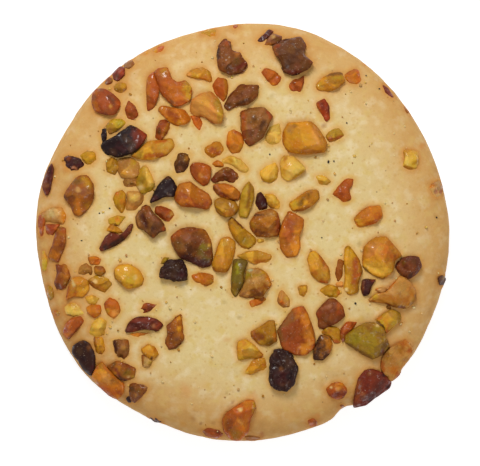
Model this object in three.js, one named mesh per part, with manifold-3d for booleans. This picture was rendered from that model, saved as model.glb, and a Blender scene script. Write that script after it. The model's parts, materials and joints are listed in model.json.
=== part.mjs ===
// A rusk: a round, flat, dry-baked biscuit with chopped nuts and raisins pressed into its top.
//
// Millimetres, +Z up. The origin is on the table, under the middle of the biscuit's flat underside.
// The biscuit is a turned profile whose outline wanders a little from a circle. Each large
// topping is a solid of its own, half sunk in a well that leaves a thin gap all round it.

import * as THREE from "three";
import { mergeVertices } from "three/addons/utils/BufferGeometryUtils.js";
import Module from "manifold-3d";

const wasm = await Module();
wasm.setup();

// ---- Driving dimensions ------------------------------------------------------------------------

const RADIUS = 35; // mean radius of the outline
const THICKNESS = 10.8; // at the middle
const WAIST = 3.6; // height of the widest level above the table
const BASE_SHARE = 0.93; // radius of the flat underside, as a share of the outline's

// The top is a superellipse: a flat middle that rolls over into a round rim.
const TOP_FLATNESS = 4.4;
const TOP_ROUNDNESS = 2.2;

// Waves that take the outline off a circle: how many go round, how far each rises, and the heading
// of one crest.
const OUTLINE_LOBES = [
  { count: 2, rise: 0.22, heading: 75 },
  { count: 3, rise: 0.26, heading: -38 },
  { count: 4, rise: 0.14, heading: -30 },
  { count: 5, rise: 0.08, heading: 5 },
  { count: 7, rise: 0.12, heading: 15 },
  { count: 8, rise: 0.11, heading: -5 },
];
const RIM_NICK = { heading: -60, depth: 1.1, spread: 3 };

// Low waves that hand shaping leaves in the top.
const TOP_WAVES = [
  { length: 33, height: 0.16, heading: 20 },
  { length: 21, height: 0.1, heading: 115 },
];

const STEPS_ROUND = 72;
const STEPS_TOP = 6;
const STEPS_UNDER = 3;
const FINENESS = 0.04; // how flat a part of the surface is to be one face

const GAP = 0.3; // between a topping and its well or its neighbour
const PIECE_DETAIL = 1; // splits of the icosahedron that a piece starts from
const WELL_FINENESS = 0.15; // how far a well's outline may stray
const WELL_REACH = 5; // of a well above the middle of its piece

// How far a piece stands out of the dough, and how much of it is sunk, for its width.
const STANDS = { least: 0.7, perWidth: 0.27 };
const SUNK = { least: 0.8, perWidth: 0.16 };
const LEAN = 0.85; // share of the surface's slope that a piece follows
const SLOPE_REACH = 0.4; // each side of a piece's middle, where the slope is measured

const DOUGH = { colour: 0xdcc084, roughness: 0.85 };

// The finishes of the toppings, by material slot.
const FINISHES = {
  almond_rust: { colour: 0x9a4f26, roughness: 0.45 },
  almond_amber: { colour: 0xbb6f30, roughness: 0.45 },
  cashew_gold: { colour: 0xc58a3c, roughness: 0.5 },
  cashew_straw: { colour: 0xd2a44a, roughness: 0.5 },
  pistachio_olive: { colour: 0x9c7a2a, roughness: 0.45 },
  pistachio_green: { colour: 0x7a681e, roughness: 0.45 },
  walnut_brown: { colour: 0x6e4027, roughness: 0.5 },
  skin_maroon: { colour: 0x55211c, roughness: 0.4 },
  raisin_black: { colour: 0x2a1c1e, roughness: 0.4 },
};

// How a piece was cut: how square it is from above and from the side, how many flat breaks it has,
// and how deep each break goes. Break depths are shares of the half size, and so are these two: how
// far out a break of no depth lies, and how steeply the breaks may face up.
const BREAK_REACH = 1.12;
const BREAK_RISE = { least: 0.15, most: 0.9 };
const CUTS = {
  kernel: { plan: 2.2, side: 2.2, breaks: 2, bite: 0.1 },
  chunk: { plan: 2.8, side: 2.8, breaks: 6, bite: 0.2 },
  block: { plan: 3.6, side: 3.2, breaks: 4, bite: 0.14 },
  slab: { plan: 3, side: 5, breaks: 4, bite: 0.16 },
  sliver: { plan: 2.4, side: 2.4, breaks: 3, bite: 0.12 },
  dried: { plan: 2.6, side: 2.3, breaks: 3, bite: 0.14 },
};

// The large toppings, those about as big as a berry. The first of two that touch keeps its whole
// shape. Each row holds the name, finish and cut, the middle seen from above, the length and width,
// and the heading of the length in degrees. taper narrows the end that the length heads for, and
// bend bows the length sideways.
const TOPPINGS = [
  topping("almond_01", "almond_rust", "chunk", [9.1, -16.4], [8.3, 6.1], 84, { taper: 0.25 }),
  topping("walnut_01", "walnut_brown", "slab", [8.5, 29.6], [7, 6], -55),
  topping("cashew_01", "cashew_gold", "slab", [10.4, 16.1], [7.6, 5.5], -8),
  topping("almond_02", "almond_amber", "kernel", [23.2, -4], [7.1, 6.3], 80),
  topping("pistachio_01", "walnut_brown", "chunk", [-8.6, -1.9], [7.8, 5.6], -35),
  topping("pistachio_02", "pistachio_olive", "slab", [20.8, -17.9], [7.7, 5.8], 160, { taper: 0.3 }),
  topping("almond_03", "skin_maroon", "chunk", [21.6, -25.8], [8, 5.2], 221, { taper: 0.3 }),
  topping("almond_04", "almond_amber", "chunk", [-0.9, -31.2], [8, 5.4], 54, { taper: 0.3 }),
  topping("cashew_02", "cashew_gold", "chunk", [25.2, -10.4], [8.3, 4.9], 187, { taper: 0.55 }),
  topping("raisin_01", "raisin_black", "dried", [6.8, -23.1], [7, 5], 82),
  topping("walnut_02", "walnut_brown", "chunk", [2.1, 18], [6.6, 5.6], 258, { taper: 0.3 }),
  topping("raisin_02", "raisin_black", "chunk", [-20, 15.2], [8, 4.9], 22),
  topping("almond_05", "almond_amber", "block", [25.7, -21], [7.5, 4], 62),
  topping("cashew_03", "cashew_gold", "slab", [-6, 21.1], [6.5, 5.3], -40),
  topping("walnut_03", "walnut_brown", "kernel", [-1.9, 29.1], [5.7, 5.2], -20),
  topping("almond_06", "almond_rust", "chunk", [-27.4, 6.4], [6.9, 4.8], 260, { taper: 0.2 }),
  topping("almond_07", "almond_amber", "chunk", [-8.4, 6.4], [7.4, 4.4], -25, { taper: 0.2 }),
  topping("almond_08", "almond_amber", "chunk", [-11.4, 24.3], [7.2, 4.3], -42),
  topping("almond_09", "almond_amber", "kernel", [8.1, -0.4], [7.6, 3.7], 83),
  topping("raisin_03", "raisin_black", "dried", [-26.5, -20.6], [6.5, 4], -62),
  topping("pistachio_03", "pistachio_olive", "chunk", [2.4, -8.3], [5.6, 5], -30),
  topping("almond_10", "almond_amber", "block", [-22.4, -24.3], [7.1, 3.8], -50),
  topping("walnut_04", "walnut_brown", "kernel", [3.8, 1.5], [5.4, 4.8], 0),
  topping("walnut_05", "walnut_brown", "chunk", [-15.8, 2], [6.2, 4.3], -54),
  topping("almond_11", "almond_rust", "block", [-23, 22.1], [5.3, 4.7], -30),
  topping("raisin_04", "raisin_black", "dried", [-11.6, -6.3], [4.9, 4.2], -10),
  topping("walnut_06", "walnut_brown", "block", [-0.2, 22.9], [6.5, 3], 28),
  topping("cashew_04", "cashew_gold", "kernel", [-14.5, 14], [6.8, 2.8], 14),
  topping("almond_12", "almond_amber", "sliver", [18.4, -6.2], [8.4, 2.2], 96),
  topping("cashew_05", "cashew_gold", "kernel", [-3.4, -3.7], [6.5, 3.1], 72),
  topping("almond_13", "almond_rust", "chunk", [14.7, -13.4], [5.3, 4.2], 40),
  topping("walnut_07", "walnut_brown", "kernel", [-11.1, -16.9], [6.4, 3.7], 72, { taper: 0.45 }),
  topping("almond_14", "skin_maroon", "sliver", [-16.6, -15.4], [6.5, 2.4], -2, { bend: -0.8 }),
  topping("cashew_06", "cashew_straw", "chunk", [8.4, 10.9], [4.5, 4.2], 5, { taper: 0.3 }),
  topping("raisin_05", "raisin_black", "block", [-13.4, 7.5], [6, 3.4], 228, { taper: 0.7 }),
  topping("cashew_07", "cashew_straw", "kernel", [-18.9, -7], [5.2, 3.7], -28),
  topping("pistachio_04", "pistachio_olive", "kernel", [10.3, 5.5], [5.9, 2.9], 33),
  topping("almond_15", "almond_amber", "kernel", [12.9, -5.6], [6.1, 2.8], -58),
  topping("walnut_08", "walnut_brown", "chunk", [27.8, -5.6], [4.6, 3.7], -12),
  topping("pistachio_05", "pistachio_olive", "kernel", [0.5, 5.6], [6.4, 2.4], 80, { taper: 0.25 }),
  topping("almond_16", "almond_amber", "block", [21, 3], [4.9, 3.2], 18),
  topping("pistachio_06", "pistachio_green", "chunk", [-20.2, -23.2], [5.2, 3.1], -28),
  topping("almond_17", "almond_amber", "block", [-11.5, 19.8], [5.4, 2.9], -22),
  topping("almond_18", "skin_maroon", "sliver", [-21.2, -1.1], [7, 1.9], 37, { bend: 0.5 }),
  topping("pistachio_07", "pistachio_olive", "kernel", [-0.2, 0], [6, 2.9], -55),
  topping("almond_19", "almond_rust", "kernel", [-7, 9.8], [4.4, 3.5], -55),
  topping("pistachio_08", "pistachio_olive", "chunk", [3.5, -16.8], [4.8, 3.3], 28),
  topping("pistachio_09", "pistachio_green", "kernel", [-1.1, -7.5], [6.3, 2.2], 90),
  topping("almond_20", "almond_rust", "sliver", [-31.1, -1.8], [6.3, 2.5], 75),
  topping("cashew_08", "cashew_straw", "block", [0.9, -19.5], [4.2, 3.5], 0),
  topping("cashew_09", "cashew_gold", "chunk", [24.7, -14.6], [4, 3.2], 55),
  topping("pistachio_10", "pistachio_olive", "kernel", [14.8, 25.5], [5.1, 2.7], 15),
  topping("pistachio_11", "pistachio_olive", "chunk", [-2.8, 4.3], [4.3, 3.1], -5),
  topping("almond_21", "almond_amber", "chunk", [-27.8, -9.2], [4.6, 2.9], 38),
  topping("almond_22", "skin_maroon", "sliver", [-32.5, 8.9], [5.7, 1.8], 76),
  topping("almond_23", "almond_rust", "kernel", [-2.7, 7.2], [5, 2.5], -22),
  topping("almond_24", "almond_rust", "sliver", [-15.1, 23.7], [6.6, 2], 84),
  topping("pistachio_12", "pistachio_green", "kernel", [13.1, -18.9], [5.1, 2.3], 72),
  topping("cashew_10", "cashew_straw", "chunk", [-16.4, 9], [4.8, 2.7], -60),
];

function topping(name, finish, cut, at, size, turn, form = {}) {
  return { name, finish, cut, at, size, turn, ...form };
}

// ---- Solids ------------------------------------------------------------------------------------

// A closed geometry as a manifold solid, without the faces that close up to nothing on an axis.
function solidOf(geometry) {
  const bare = new THREE.BufferGeometry();
  bare.setAttribute("position", geometry.getAttribute("position"));
  bare.setIndex(geometry.getIndex());
  const merged = mergeVertices(bare, 1e-4);
  const corners = merged.getIndex().array;
  const faces = [];
  for (let i = 0; i < corners.length; i += 3) {
    const [a, b, c] = corners.slice(i, i + 3);
    if (a !== b && b !== c && c !== a) faces.push(a, b, c);
  }
  return new wasm.Manifold(
    new wasm.Mesh({
      numProp: 3,
      vertProperties: merged.getAttribute("position").array,
      triVerts: Uint32Array.from(faces),
    }),
  );
}

function geometryOf(solid) {
  const { vertProperties, triVerts } = solid.getMesh();
  const geometry = new THREE.BufferGeometry();
  geometry.setAttribute("position", new THREE.BufferAttribute(vertProperties, 3));
  geometry.setIndex(new THREE.BufferAttribute(triVerts, 1));
  return geometry;
}

// The largest body of a solid that a cut may have split.
function largestBody(solid) {
  return solid.decompose().reduce((a, b) => (a.volume() > b.volume() ? a : b));
}

// Moves each vertex by a function that changes the point it is given.
function reshape(geometry, change) {
  const position = geometry.getAttribute("position");
  const point = new THREE.Vector3();
  for (let i = 0; i < position.count; i++) {
    change(point.fromBufferAttribute(position, i));
    position.setXYZ(i, point.x, point.y, point.z);
  }
  return geometry;
}

// ---- The biscuit -------------------------------------------------------------------------------

// Radius of the outline at a heading, in radians.
function outlineRadius(heading) {
  const waves = OUTLINE_LOBES.reduce((sum, lobe) => {
    const offset = THREE.MathUtils.degToRad(lobe.heading);
    return sum + lobe.rise * Math.cos(lobe.count * (heading - offset));
  }, 0);
  const away = THREE.MathUtils.radToDeg(heading) - RIM_NICK.heading;
  const turns = Math.round(away / 360) * 360;
  const nick = RIM_NICK.depth * Math.exp(-(((away - turns) / RIM_NICK.spread) ** 2));
  return RADIUS + waves - nick;
}

function topWaves(x, y) {
  return TOP_WAVES.reduce((sum, wave) => {
    const angle = THREE.MathUtils.degToRad(wave.heading);
    const along = x * Math.cos(angle) + y * Math.sin(angle);
    return sum + wave.height * Math.sin((2 * Math.PI * along) / wave.length);
  }, 0);
}

// Height of the top over a point, and of the waist beyond the rim.
function topHeight(x, y) {
  const share = Math.hypot(x, y) / outlineRadius(Math.atan2(y, x));
  const inside = Math.max(0, 1 - share ** TOP_FLATNESS);
  const dome = WAIST + (THICKNESS - WAIST) * inside ** (1 / TOP_ROUNDNESS);
  return dome + topWaves(x, y) * inside;
}

// Radius share and height from the middle of the underside out to the waist and up to the top.
function biscuitProfile() {
  const profile = [new THREE.Vector2(0, 0)];
  for (let i = 0; i < STEPS_UNDER; i++) {
    const t = (i / STEPS_UNDER) * (Math.PI / 2);
    const share = BASE_SHARE + (1 - BASE_SHARE) * Math.sin(t);
    profile.push(new THREE.Vector2(share * RADIUS, WAIST * (1 - Math.cos(t))));
  }
  for (let i = 0; i < STEPS_TOP; i++) {
    const t = (i / STEPS_TOP) * (Math.PI / 2);
    const share = Math.cos(t) ** (2 / TOP_FLATNESS);
    const rise = Math.sin(t) ** (2 / TOP_ROUNDNESS);
    profile.push(new THREE.Vector2(share * RADIUS, WAIST + (THICKNESS - WAIST) * rise));
  }
  profile.push(new THREE.Vector2(0, THICKNESS));
  return profile;
}

function biscuitBlank() {
  const turned = new THREE.LatheGeometry(biscuitProfile(), STEPS_ROUND).rotateX(Math.PI / 2);
  return reshape(turned, (p) => {
    const stretch = outlineRadius(Math.atan2(p.y, p.x)) / RADIUS;
    p.x *= stretch;
    p.y *= stretch;
    if (p.z > WAIST) p.z = topHeight(p.x, p.y);
  });
}

// ---- The toppings ------------------------------------------------------------------------------

// A repeatable source of random numbers from 0 to 1: the same seed always gives the same piece.
function randomFrom(seed) {
  let state = seed >>> 0;
  return () => {
    state = (state + 0x6d2b79f5) >>> 0;
    let t = Math.imul(state ^ (state >>> 15), state | 1);
    t ^= t + Math.imul(t ^ (t >>> 7), t | 61);
    return ((t ^ (t >>> 14)) >>> 0) / 2 ** 32;
  };
}

// The flat breaks of a piece, as planes that cut a shape of half size 1 from its sides and top.
function breakPlanes({ breaks, bite }, random) {
  return Array.from({ length: breaks }, (_, i) => {
    const heading = ((i + 0.7 * random()) / breaks) * 2 * Math.PI;
    const rise = THREE.MathUtils.lerp(BREAK_RISE.least, BREAK_RISE.most, random());
    const depth = THREE.MathUtils.lerp(0.6, 1.6, random()) * bite;
    const normal = new THREE.Vector3(Math.cos(heading), Math.sin(heading), rise).normalize();
    return { normal, reach: BREAK_REACH - depth };
  });
}

// One piece lying along +X about its own middle: a rounded block with flat breaks, drawn out to
// its size, narrowed towards +X and bowed sideways.
function choppedPiece({ cut, size, taper = 0, bend = 0 }, height, seed) {
  const { plan, side } = CUTS[cut];
  const random = randomFrom(seed);
  const planes = breakPlanes(CUTS[cut], random);
  const blank = new THREE.IcosahedronGeometry(1, PIECE_DETAIL).rotateZ(random() * Math.PI);
  reshape(blank, (p) => {
    const across = (Math.abs(p.x) ** plan + Math.abs(p.y) ** plan) ** (side / plan);
    p.divideScalar((across + Math.abs(p.z) ** side) ** (1 / side));
    for (const { normal, reach } of planes) {
      const beyond = p.dot(normal) - reach;
      if (beyond > 0) p.addScaledVector(normal, -beyond);
    }
  });
  blank.computeBoundingBox();
  const full = blank.boundingBox.getSize(new THREE.Vector3());
  const middle = blank.boundingBox.getCenter(new THREE.Vector3());
  return reshape(blank, (p) => {
    p.sub(middle).divide(full).multiplyScalar(2);
    const narrowed = 1 - (taper * (p.x + 1)) / 2;
    const bow = bend * (p.x ** 2 - 0.5);
    p.set((p.x * size[0]) / 2, (p.y * size[1] * narrowed) / 2 + bow, (p.z * height) / 2);
  });
}

// The room that a piece takes: its outline seen from above, moved out by the gap, as a straight well
// from just under the piece to clear of everything above it.
function wellOf(piece, height) {
  const outline = piece.project().offset(GAP, "Miter").simplify(WELL_FINENESS);
  const foot = height / 2 + GAP;
  return outline.extrude(foot + WELL_REACH).translate(0, 0, -foot);
}

// Where a piece lies: its own up close to the surface's normal, its top above the surface by what
// it stands, and its length on its heading.
function seat({ at: [x, y], turn }, stands, height) {
  const reach = SLOPE_REACH;
  const normal = new THREE.Vector3(
    LEAN * (topHeight(x - reach, y) - topHeight(x + reach, y)),
    LEAN * (topHeight(x, y - reach) - topHeight(x, y + reach)),
    2 * reach,
  ).normalize();
  const middle = new THREE.Vector3(x, y, topHeight(x, y));
  middle.addScaledVector(normal, stands - height / 2);
  const heading = new THREE.Quaternion().setFromAxisAngle(
    new THREE.Vector3(0, 0, 1),
    THREE.MathUtils.degToRad(turn),
  );
  const lean = new THREE.Quaternion().setFromUnitVectors(new THREE.Vector3(0, 0, 1), normal);
  return new THREE.Matrix4().compose(middle, lean.multiply(heading), new THREE.Vector3(1, 1, 1));
}

function matteMaterial({ colour, roughness }) {
  return new THREE.MeshStandardMaterial({ color: colour, roughness, metalness: 0 });
}

// ---- Assembly ----------------------------------------------------------------------------------

// Every topping as a mesh, each cut clear of the ones before it, and the wells that they need.
function seatToppings() {
  const meshes = [];
  const wells = [];
  TOPPINGS.forEach((row, i) => {
    const width = row.size[1];
    const stands = STANDS.least + STANDS.perWidth * width;
    const height = stands + SUNK.least + SUNK.perWidth * width;
    const place = seat(row, stands, height);
    const whole = solidOf(choppedPiece(row, height, i + 1));
    const cut = wells.reduce((rest, well) => rest.subtract(well), whole.transform(place.elements));
    wells.push(wellOf(whole, height).transform(place.elements));

    const local = geometryOf(largestBody(cut)).applyMatrix4(place.clone().invert());
    const mesh = new THREE.Mesh(local, matteMaterial(FINISHES[row.finish]));
    mesh.name = row.name;
    place.decompose(mesh.position, mesh.quaternion, mesh.scale);
    meshes.push(mesh);
  });
  return { meshes, wells };
}

function bakedBiscuit(wells) {
  const dough = wells.reduce((rest, well) => rest.subtract(well), solidOf(biscuitBlank()));
  const shape = geometryOf(largestBody(dough).simplify(FINENESS));
  const mesh = new THREE.Mesh(shape, matteMaterial(DOUGH));
  mesh.name = "biscuit";
  return mesh;
}

const { meshes, wells } = seatToppings();
const toppings = new THREE.Group().add(...meshes);
const rusk = new THREE.Group().add(bakedBiscuit(wells), toppings);

export default rusk;
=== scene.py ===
"""The looks of a round rusk with chopped nuts and raisins baked into its top.

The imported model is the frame: metres, +Z up, and the origin under the middle of the flat underside.
The dough and every large topping stand for a solid of the model. The small toppings, crumbs and
specks are made here, on the same surface.
"""

from __future__ import annotations

import json
import logging
import math
import random
from dataclasses import dataclass, field
from enum import Enum
from typing import ClassVar, Iterable, Sequence

import bmesh
import bpy
from mathutils import Matrix, Vector, noise
from mathutils.bvhtree import BVHTree

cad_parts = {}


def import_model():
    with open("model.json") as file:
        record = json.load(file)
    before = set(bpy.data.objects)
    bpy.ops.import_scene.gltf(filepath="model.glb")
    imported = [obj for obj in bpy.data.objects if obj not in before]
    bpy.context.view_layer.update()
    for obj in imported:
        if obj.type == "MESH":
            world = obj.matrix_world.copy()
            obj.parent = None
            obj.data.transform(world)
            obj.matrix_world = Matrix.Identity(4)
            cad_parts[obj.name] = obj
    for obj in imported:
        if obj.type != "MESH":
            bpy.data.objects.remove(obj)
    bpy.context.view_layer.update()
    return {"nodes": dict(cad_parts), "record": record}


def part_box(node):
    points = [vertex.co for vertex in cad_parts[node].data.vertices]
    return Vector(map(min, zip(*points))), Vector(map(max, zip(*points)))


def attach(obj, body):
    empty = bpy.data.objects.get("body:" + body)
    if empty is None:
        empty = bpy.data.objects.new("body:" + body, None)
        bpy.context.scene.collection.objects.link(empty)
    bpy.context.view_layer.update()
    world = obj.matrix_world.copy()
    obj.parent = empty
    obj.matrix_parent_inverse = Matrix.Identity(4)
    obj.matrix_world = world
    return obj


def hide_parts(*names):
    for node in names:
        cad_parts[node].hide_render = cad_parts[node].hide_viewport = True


LOG = logging.getLogger("rusk")

MM = 0.001
BODY = "root"
NOISE_SEED = 5
FLAT = 0.05 * MM

UP = Vector((0, 0, 1))

Colour = tuple[float, float, float]


# ---- Small helpers -----------------------------------------------------------------------------


def blend(a: float, b: float, share: float) -> float:
    """Return the value that lies the given share of the way from a to b."""
    return a + (b - a) * share


def ease(low: float, high: float, value: float) -> float:
    """Return 0 below low, 1 above high, and a smooth rise between them."""
    share = min(1.0, max(0.0, (value - low) / (high - low)))
    return share * share * (3 - 2 * share)


def heading_vector(degrees: float) -> Vector:
    """Return the flat unit vector that points along a heading, counted from +X."""
    angle = math.radians(degrees)
    return Vector((math.cos(angle), math.sin(angle), 0))


def ridge(value: float, steepness: float = 2.2) -> float:
    """Return 1 on the zero line of a noise value, falling to 0 away from it."""
    return max(0.0, 1 - abs(value) * steepness)


# ---- Colours and outlines ----------------------------------------------------------------------


class Tint(Enum):
    """The baked colours of dough, nuts and fruit, as they look in plain daylight, and one pinkish
    painted highlight.
    """

    CREAM = (222, 197, 138)
    SAND = (218, 184, 122)
    BUTTER = (214, 172, 82)
    STRAW = (207, 158, 64)
    GOLD = (204, 146, 52)
    HONEY = (197, 133, 45)
    MUSTARD = (186, 145, 50)
    OCHRE = (173, 121, 34)
    APRICOT = (208, 138, 70)
    ORANGE = (200, 120, 46)
    AMBER = (188, 110, 36)
    FLAME = (191, 94, 28)
    COPPER = (184, 97, 44)
    RUSSET = (177, 91, 33)
    TERRACOTTA = (170, 86, 50)
    SIENNA = (165, 80, 29)
    RUST = (150, 70, 25)
    BRICK = (156, 62, 42)
    CARAMEL = (165, 99, 40)
    TOFFEE = (148, 84, 32)
    CHESTNUT = (129, 65, 26)
    HAZEL = (180, 126, 66)
    TAN = (190, 144, 86)
    FAWN = (165, 113, 58)
    MOCHA = (141, 91, 55)
    BRONZE = (138, 91, 22)
    TEAK = (112, 76, 26)
    DATE = (110, 56, 14)
    BARK = (82, 46, 16)
    WALNUT = (122, 69, 42)
    COCOA = (106, 63, 42)
    MAUVE = (132, 78, 58)
    UMBER = (88, 52, 33)
    COFFEE = (60, 35, 20)
    OLIVE = (149, 114, 37)
    MOSS = (108, 87, 12)
    FERN = (139, 131, 44)
    SAGE = (190, 187, 148)
    OXBLOOD = (114, 43, 25)
    PLUM = (107, 47, 44)
    MAROON = (86, 36, 32)
    WINE = (60, 24, 22)
    PRUNE = (47, 28, 27)
    GRAPE = (74, 50, 54)
    COAL = (31, 20, 18)
    # A painted highlight: a pinkish glint of the light, put into the colour wherever this tint is used.
    ROSE_GLINT = (168, 106, 80)

    @property
    def linear(self) -> Colour:
        """The colour in scene-linear values."""
        return tuple(
            c / 12.92 if c <= 0.04045 else ((c + 0.055) / 1.055) ** 2.4
            for c in (channel / 255 for channel in self.value)
        )


@dataclass(frozen=True)
class Mark:
    """A patch of another colour, seen from above: from one place to another, in millimetres.

    reach is how far the colour spreads to each side, and share how strong it is. FADE gives where
    it starts to fade and where it ends, in reaches, and RAGGED how uneven its edge is.
    """

    FADE: ClassVar[tuple[float, float]] = (0.1, 1.75)
    RAGGED: ClassVar[float] = 0.8

    tint: Tint
    start: tuple[float, float]
    end: tuple[float, float]
    reach: float
    share: float = 0.9

    def cover(self, x: float, y: float, wobble: float) -> float:
        """Return how much of the colour lies over a point, from 0 to 1.

        Args:
            x: the point's place, in millimetres.
            y: the same across.
            wobble: a noise around 0 that makes the edge uneven.

        Returns:
            The share of this colour.
        """
        across, up = self.end[0] - self.start[0], self.end[1] - self.start[1]
        x -= self.start[0]
        y -= self.start[1]
        length = across * across + up * up
        along = min(1.0, max(0.0, (x * across + y * up) / length)) if length else 0.0
        gap = math.hypot(x - along * across, y - along * up)
        return self.share * (1 - ease(*self.FADE, gap / self.reach + self.RAGGED * wobble))


def spot(tint: Tint, x: float, y: float, reach: float = 0.5, share: float = 0.9) -> Mark:
    """Return a round mark at a place."""
    return Mark(tint, (x, y), (x, y), reach, share)


def streak(
    tint: Tint, x: float, y: float, to_x: float, to_y: float, reach: float = 0.5
) -> Mark:
    """Return a long mark from one place to another."""
    return Mark(tint, (x, y), (to_x, to_y), reach)


@dataclass(frozen=True)
class Chip:
    """A topping as it is seen from above, in millimetres: its colours and its outline.

    outline holds the corners one after another, each as x and y in turn, and marks the patches of
    other colours. stands, how far it stands out of the dough, is for pieces without a solid. The
    others take it from the model.
    """

    tint: Tint
    outline: tuple[float, ...]
    marks: tuple[Mark, ...] = ()
    stands: float = 0

    def contour(self, steps: int = 4) -> list[Vector]:
        """Return the outline as a smooth closed curve through its corners, in metres."""
        pairs = zip(self.outline[::2], self.outline[1::2])
        corners = [Vector((x, y, 0)) * MM for x, y in pairs]
        turn = sum(a.cross(b).z for a, b in zip(corners, corners[1:] + corners[:1]))
        if turn < 0:
            corners.reverse()
        count = len(corners)
        curve = []
        for i in range(count):
            a, b, c, d = (corners[(i + k) % count] for k in (-1, 0, 1, 2))
            for step in range(steps):
                t = step / steps
                curve.append(self._spline(a, b, c, d, t))
        return curve

    @staticmethod
    def _spline(a: Vector, b: Vector, c: Vector, d: Vector, t: float, pull: float = 0.2) -> Vector:
        """Return the point a share of the way from b to c on a curve that a and d bend."""
        leave, arrive = (c - a) * pull, (d - b) * pull
        low = (2 * t**3 - 3 * t**2 + 1) * b + (t**3 - 2 * t**2 + t) * leave
        return low + (3 * t**2 - 2 * t**3) * c + (t**3 - t**2) * arrive

    def colour(self, x: float, y: float, wobble: float) -> tuple[Vector, float]:
        """Return the scene-linear colour over a point, and how much darker than plain it is."""
        plain = Vector(self.tint.linear)
        colour = plain.copy()
        for mark in self.marks:
            colour = colour.lerp(Vector(mark.tint.linear), mark.cover(x, y, wobble))
        return colour, 1 - colour.length / plain.length


# ---- Materials ---------------------------------------------------------------------------------


class Signal:
    """A socket of a shader tree that can be used in a sum: each operator adds a Math node."""

    def __init__(self, recipe: "Recipe", socket: bpy.types.NodeSocket) -> None:
        """Wrap an output socket of the recipe's tree."""
        self.recipe = recipe
        self.socket = socket

    def _math(self, operation: str, first: object, second: object) -> "Signal":
        """Return the result of a Math node on two values or signals."""
        return self.recipe.add("Math", {"operation": operation}, {0: first, 1: second})

    def __add__(self, other: object) -> "Signal":
        """Return self + other."""
        return self._math("ADD", self, other)

    def __sub__(self, other: object) -> "Signal":
        """Return self - other."""
        return self._math("SUBTRACT", self, other)

    def __rsub__(self, other: object) -> "Signal":
        """Return other - self."""
        return self._math("SUBTRACT", other, self)

    def __mul__(self, other: object) -> "Signal":
        """Return self * other."""
        return self._math("MULTIPLY", self, other)

    __radd__ = __add__
    __rmul__ = __mul__

    def between(self, low: float, high: float) -> "Signal":
        """Return 0 below low, 1 above high, and a smooth rise between them."""
        settings = {"interpolation_type": "SMOOTHSTEP"}
        return self.recipe.add("MapRange", settings, {0: self, 1: low, 2: high})


class Recipe:
    """A material's node tree, and the one way that nodes are added to it."""

    def __init__(self, name: str) -> None:
        """Start an empty material of that name."""
        self.material = bpy.data.materials.new(name)
        self.material.use_nodes = True
        self.tree = self.material.node_tree
        self.tree.nodes.clear()

    def add(self, kind: str, settings: dict | None = None, sockets: dict | None = None) -> Signal:
        """Add a node and return its first output that is in use.

        Args:
            kind: the node's type without the ShaderNode in front.
            settings: values of the node itself. stops holds a ramp's places and colours.
            sockets: a number, colour or Signal for each input, by name or place.

        Returns:
            The node's first output.
        """
        node = self.tree.nodes.new("ShaderNode" + kind)
        for name, value in (settings or {}).items():
            if name == "stops":
                self._set_stops(node.color_ramp, value)
            else:
                setattr(node, name, value)
        for name, value in (sockets or {}).items():
            self._feed(self._input(node, name), value)
        outputs = [socket for socket in node.outputs if socket.enabled]
        return Signal(self, outputs[0]) if outputs else Signal(self, None)

    @staticmethod
    def _set_stops(ramp: bpy.types.ColorRamp, stops: Sequence[tuple]) -> None:
        """Give a ramp its stops, each a place and a scene-linear colour."""
        while len(ramp.elements) < len(stops):
            ramp.elements.new(1)
        for element, (place, colour) in zip(ramp.elements, stops):
            element.position = place
            element.color = (*colour, 1)

    @staticmethod
    def _input(node: bpy.types.Node, name: str | int) -> bpy.types.NodeSocket:
        """Return the input of that name or place that is in use."""
        if isinstance(name, int):
            return node.inputs[name]
        return next(s for s in node.inputs if s.name == name and s.enabled)

    def _feed(self, socket: bpy.types.NodeSocket, value: object) -> None:
        """Link a signal to an input, or set the input's own value."""
        if isinstance(value, Signal):
            self.tree.links.new(value.socket, socket)
        elif isinstance(value, (int, float)):
            socket.default_value = value
        else:
            size = len(socket.default_value)
            socket.default_value = (*value, 1)[:size]

    def place(self) -> Signal:
        """Return the object coordinates, which are the model's own."""
        node = self.add("TexCoord").socket.node
        return Signal(self, node.outputs["Object"])

    def stretched(self, attribute: str, scale: tuple[float, float, float]) -> Signal:
        """Return an attribute's vector with each direction scaled."""
        node = self.add("Attribute", {"attribute_name": attribute}).socket.node
        lie = Signal(self, node.outputs["Vector"])
        return self.add("Mapping", {}, {"Vector": lie, "Scale": scale})

    def attribute(self, name: str, output: str = "Fac") -> Signal:
        """Return a mesh attribute as a number or, with Color, as a colour."""
        node = self.add("Attribute", {"attribute_name": name}).socket.node
        return Signal(self, node.outputs[output])

    def noise(self, where: Signal, size: float, detail: float = 2, rough: float = 0.5) -> Signal:
        """Return a cloudy noise from 0 to 1, with features of that size in metres."""
        sockets = {"Vector": where, "Scale": 1 / size, "Detail": detail, "Roughness": rough}
        return self.add("TexNoise", {}, sockets)

    def cells(self, where: Signal, size: float) -> bpy.types.Node:
        """Return a Voronoi node with cells of that size in metres."""
        return self.add("TexVoronoi", {}, {"Vector": where, "Scale": 1 / size}).socket.node

    def mix(self, share: object, low: object, high: object, mode: str = "MIX") -> Signal:
        """Return a colour mixed from two by a share from 0 to 1."""
        settings = {"data_type": "RGBA", "blend_type": mode}
        return self.add("Mix", settings, {"Factor": share, "A": low, "B": high})

    def bump(
        self, height: Signal, depth: float, strength: float = 1, onto: Signal | None = None
    ) -> Signal:
        """Return the normal of a surface raised by a height from 0 to 1 times a depth in metres."""
        sockets = {"Height": height, "Distance": depth, "Strength": strength}
        if onto:
            sockets["Normal"] = onto
        return self.add("Bump", {}, sockets)

    def finish(self, sockets: dict) -> bpy.types.Material:
        """Close the tree with a Principled shader and return the material."""
        shader = self.add("BsdfPrincipled", {}, sockets)
        self.add("OutputMaterial", {}, {"Surface": shader})
        return self.material


# ---- Finishes ----------------------------------------------------------------------------------


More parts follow.
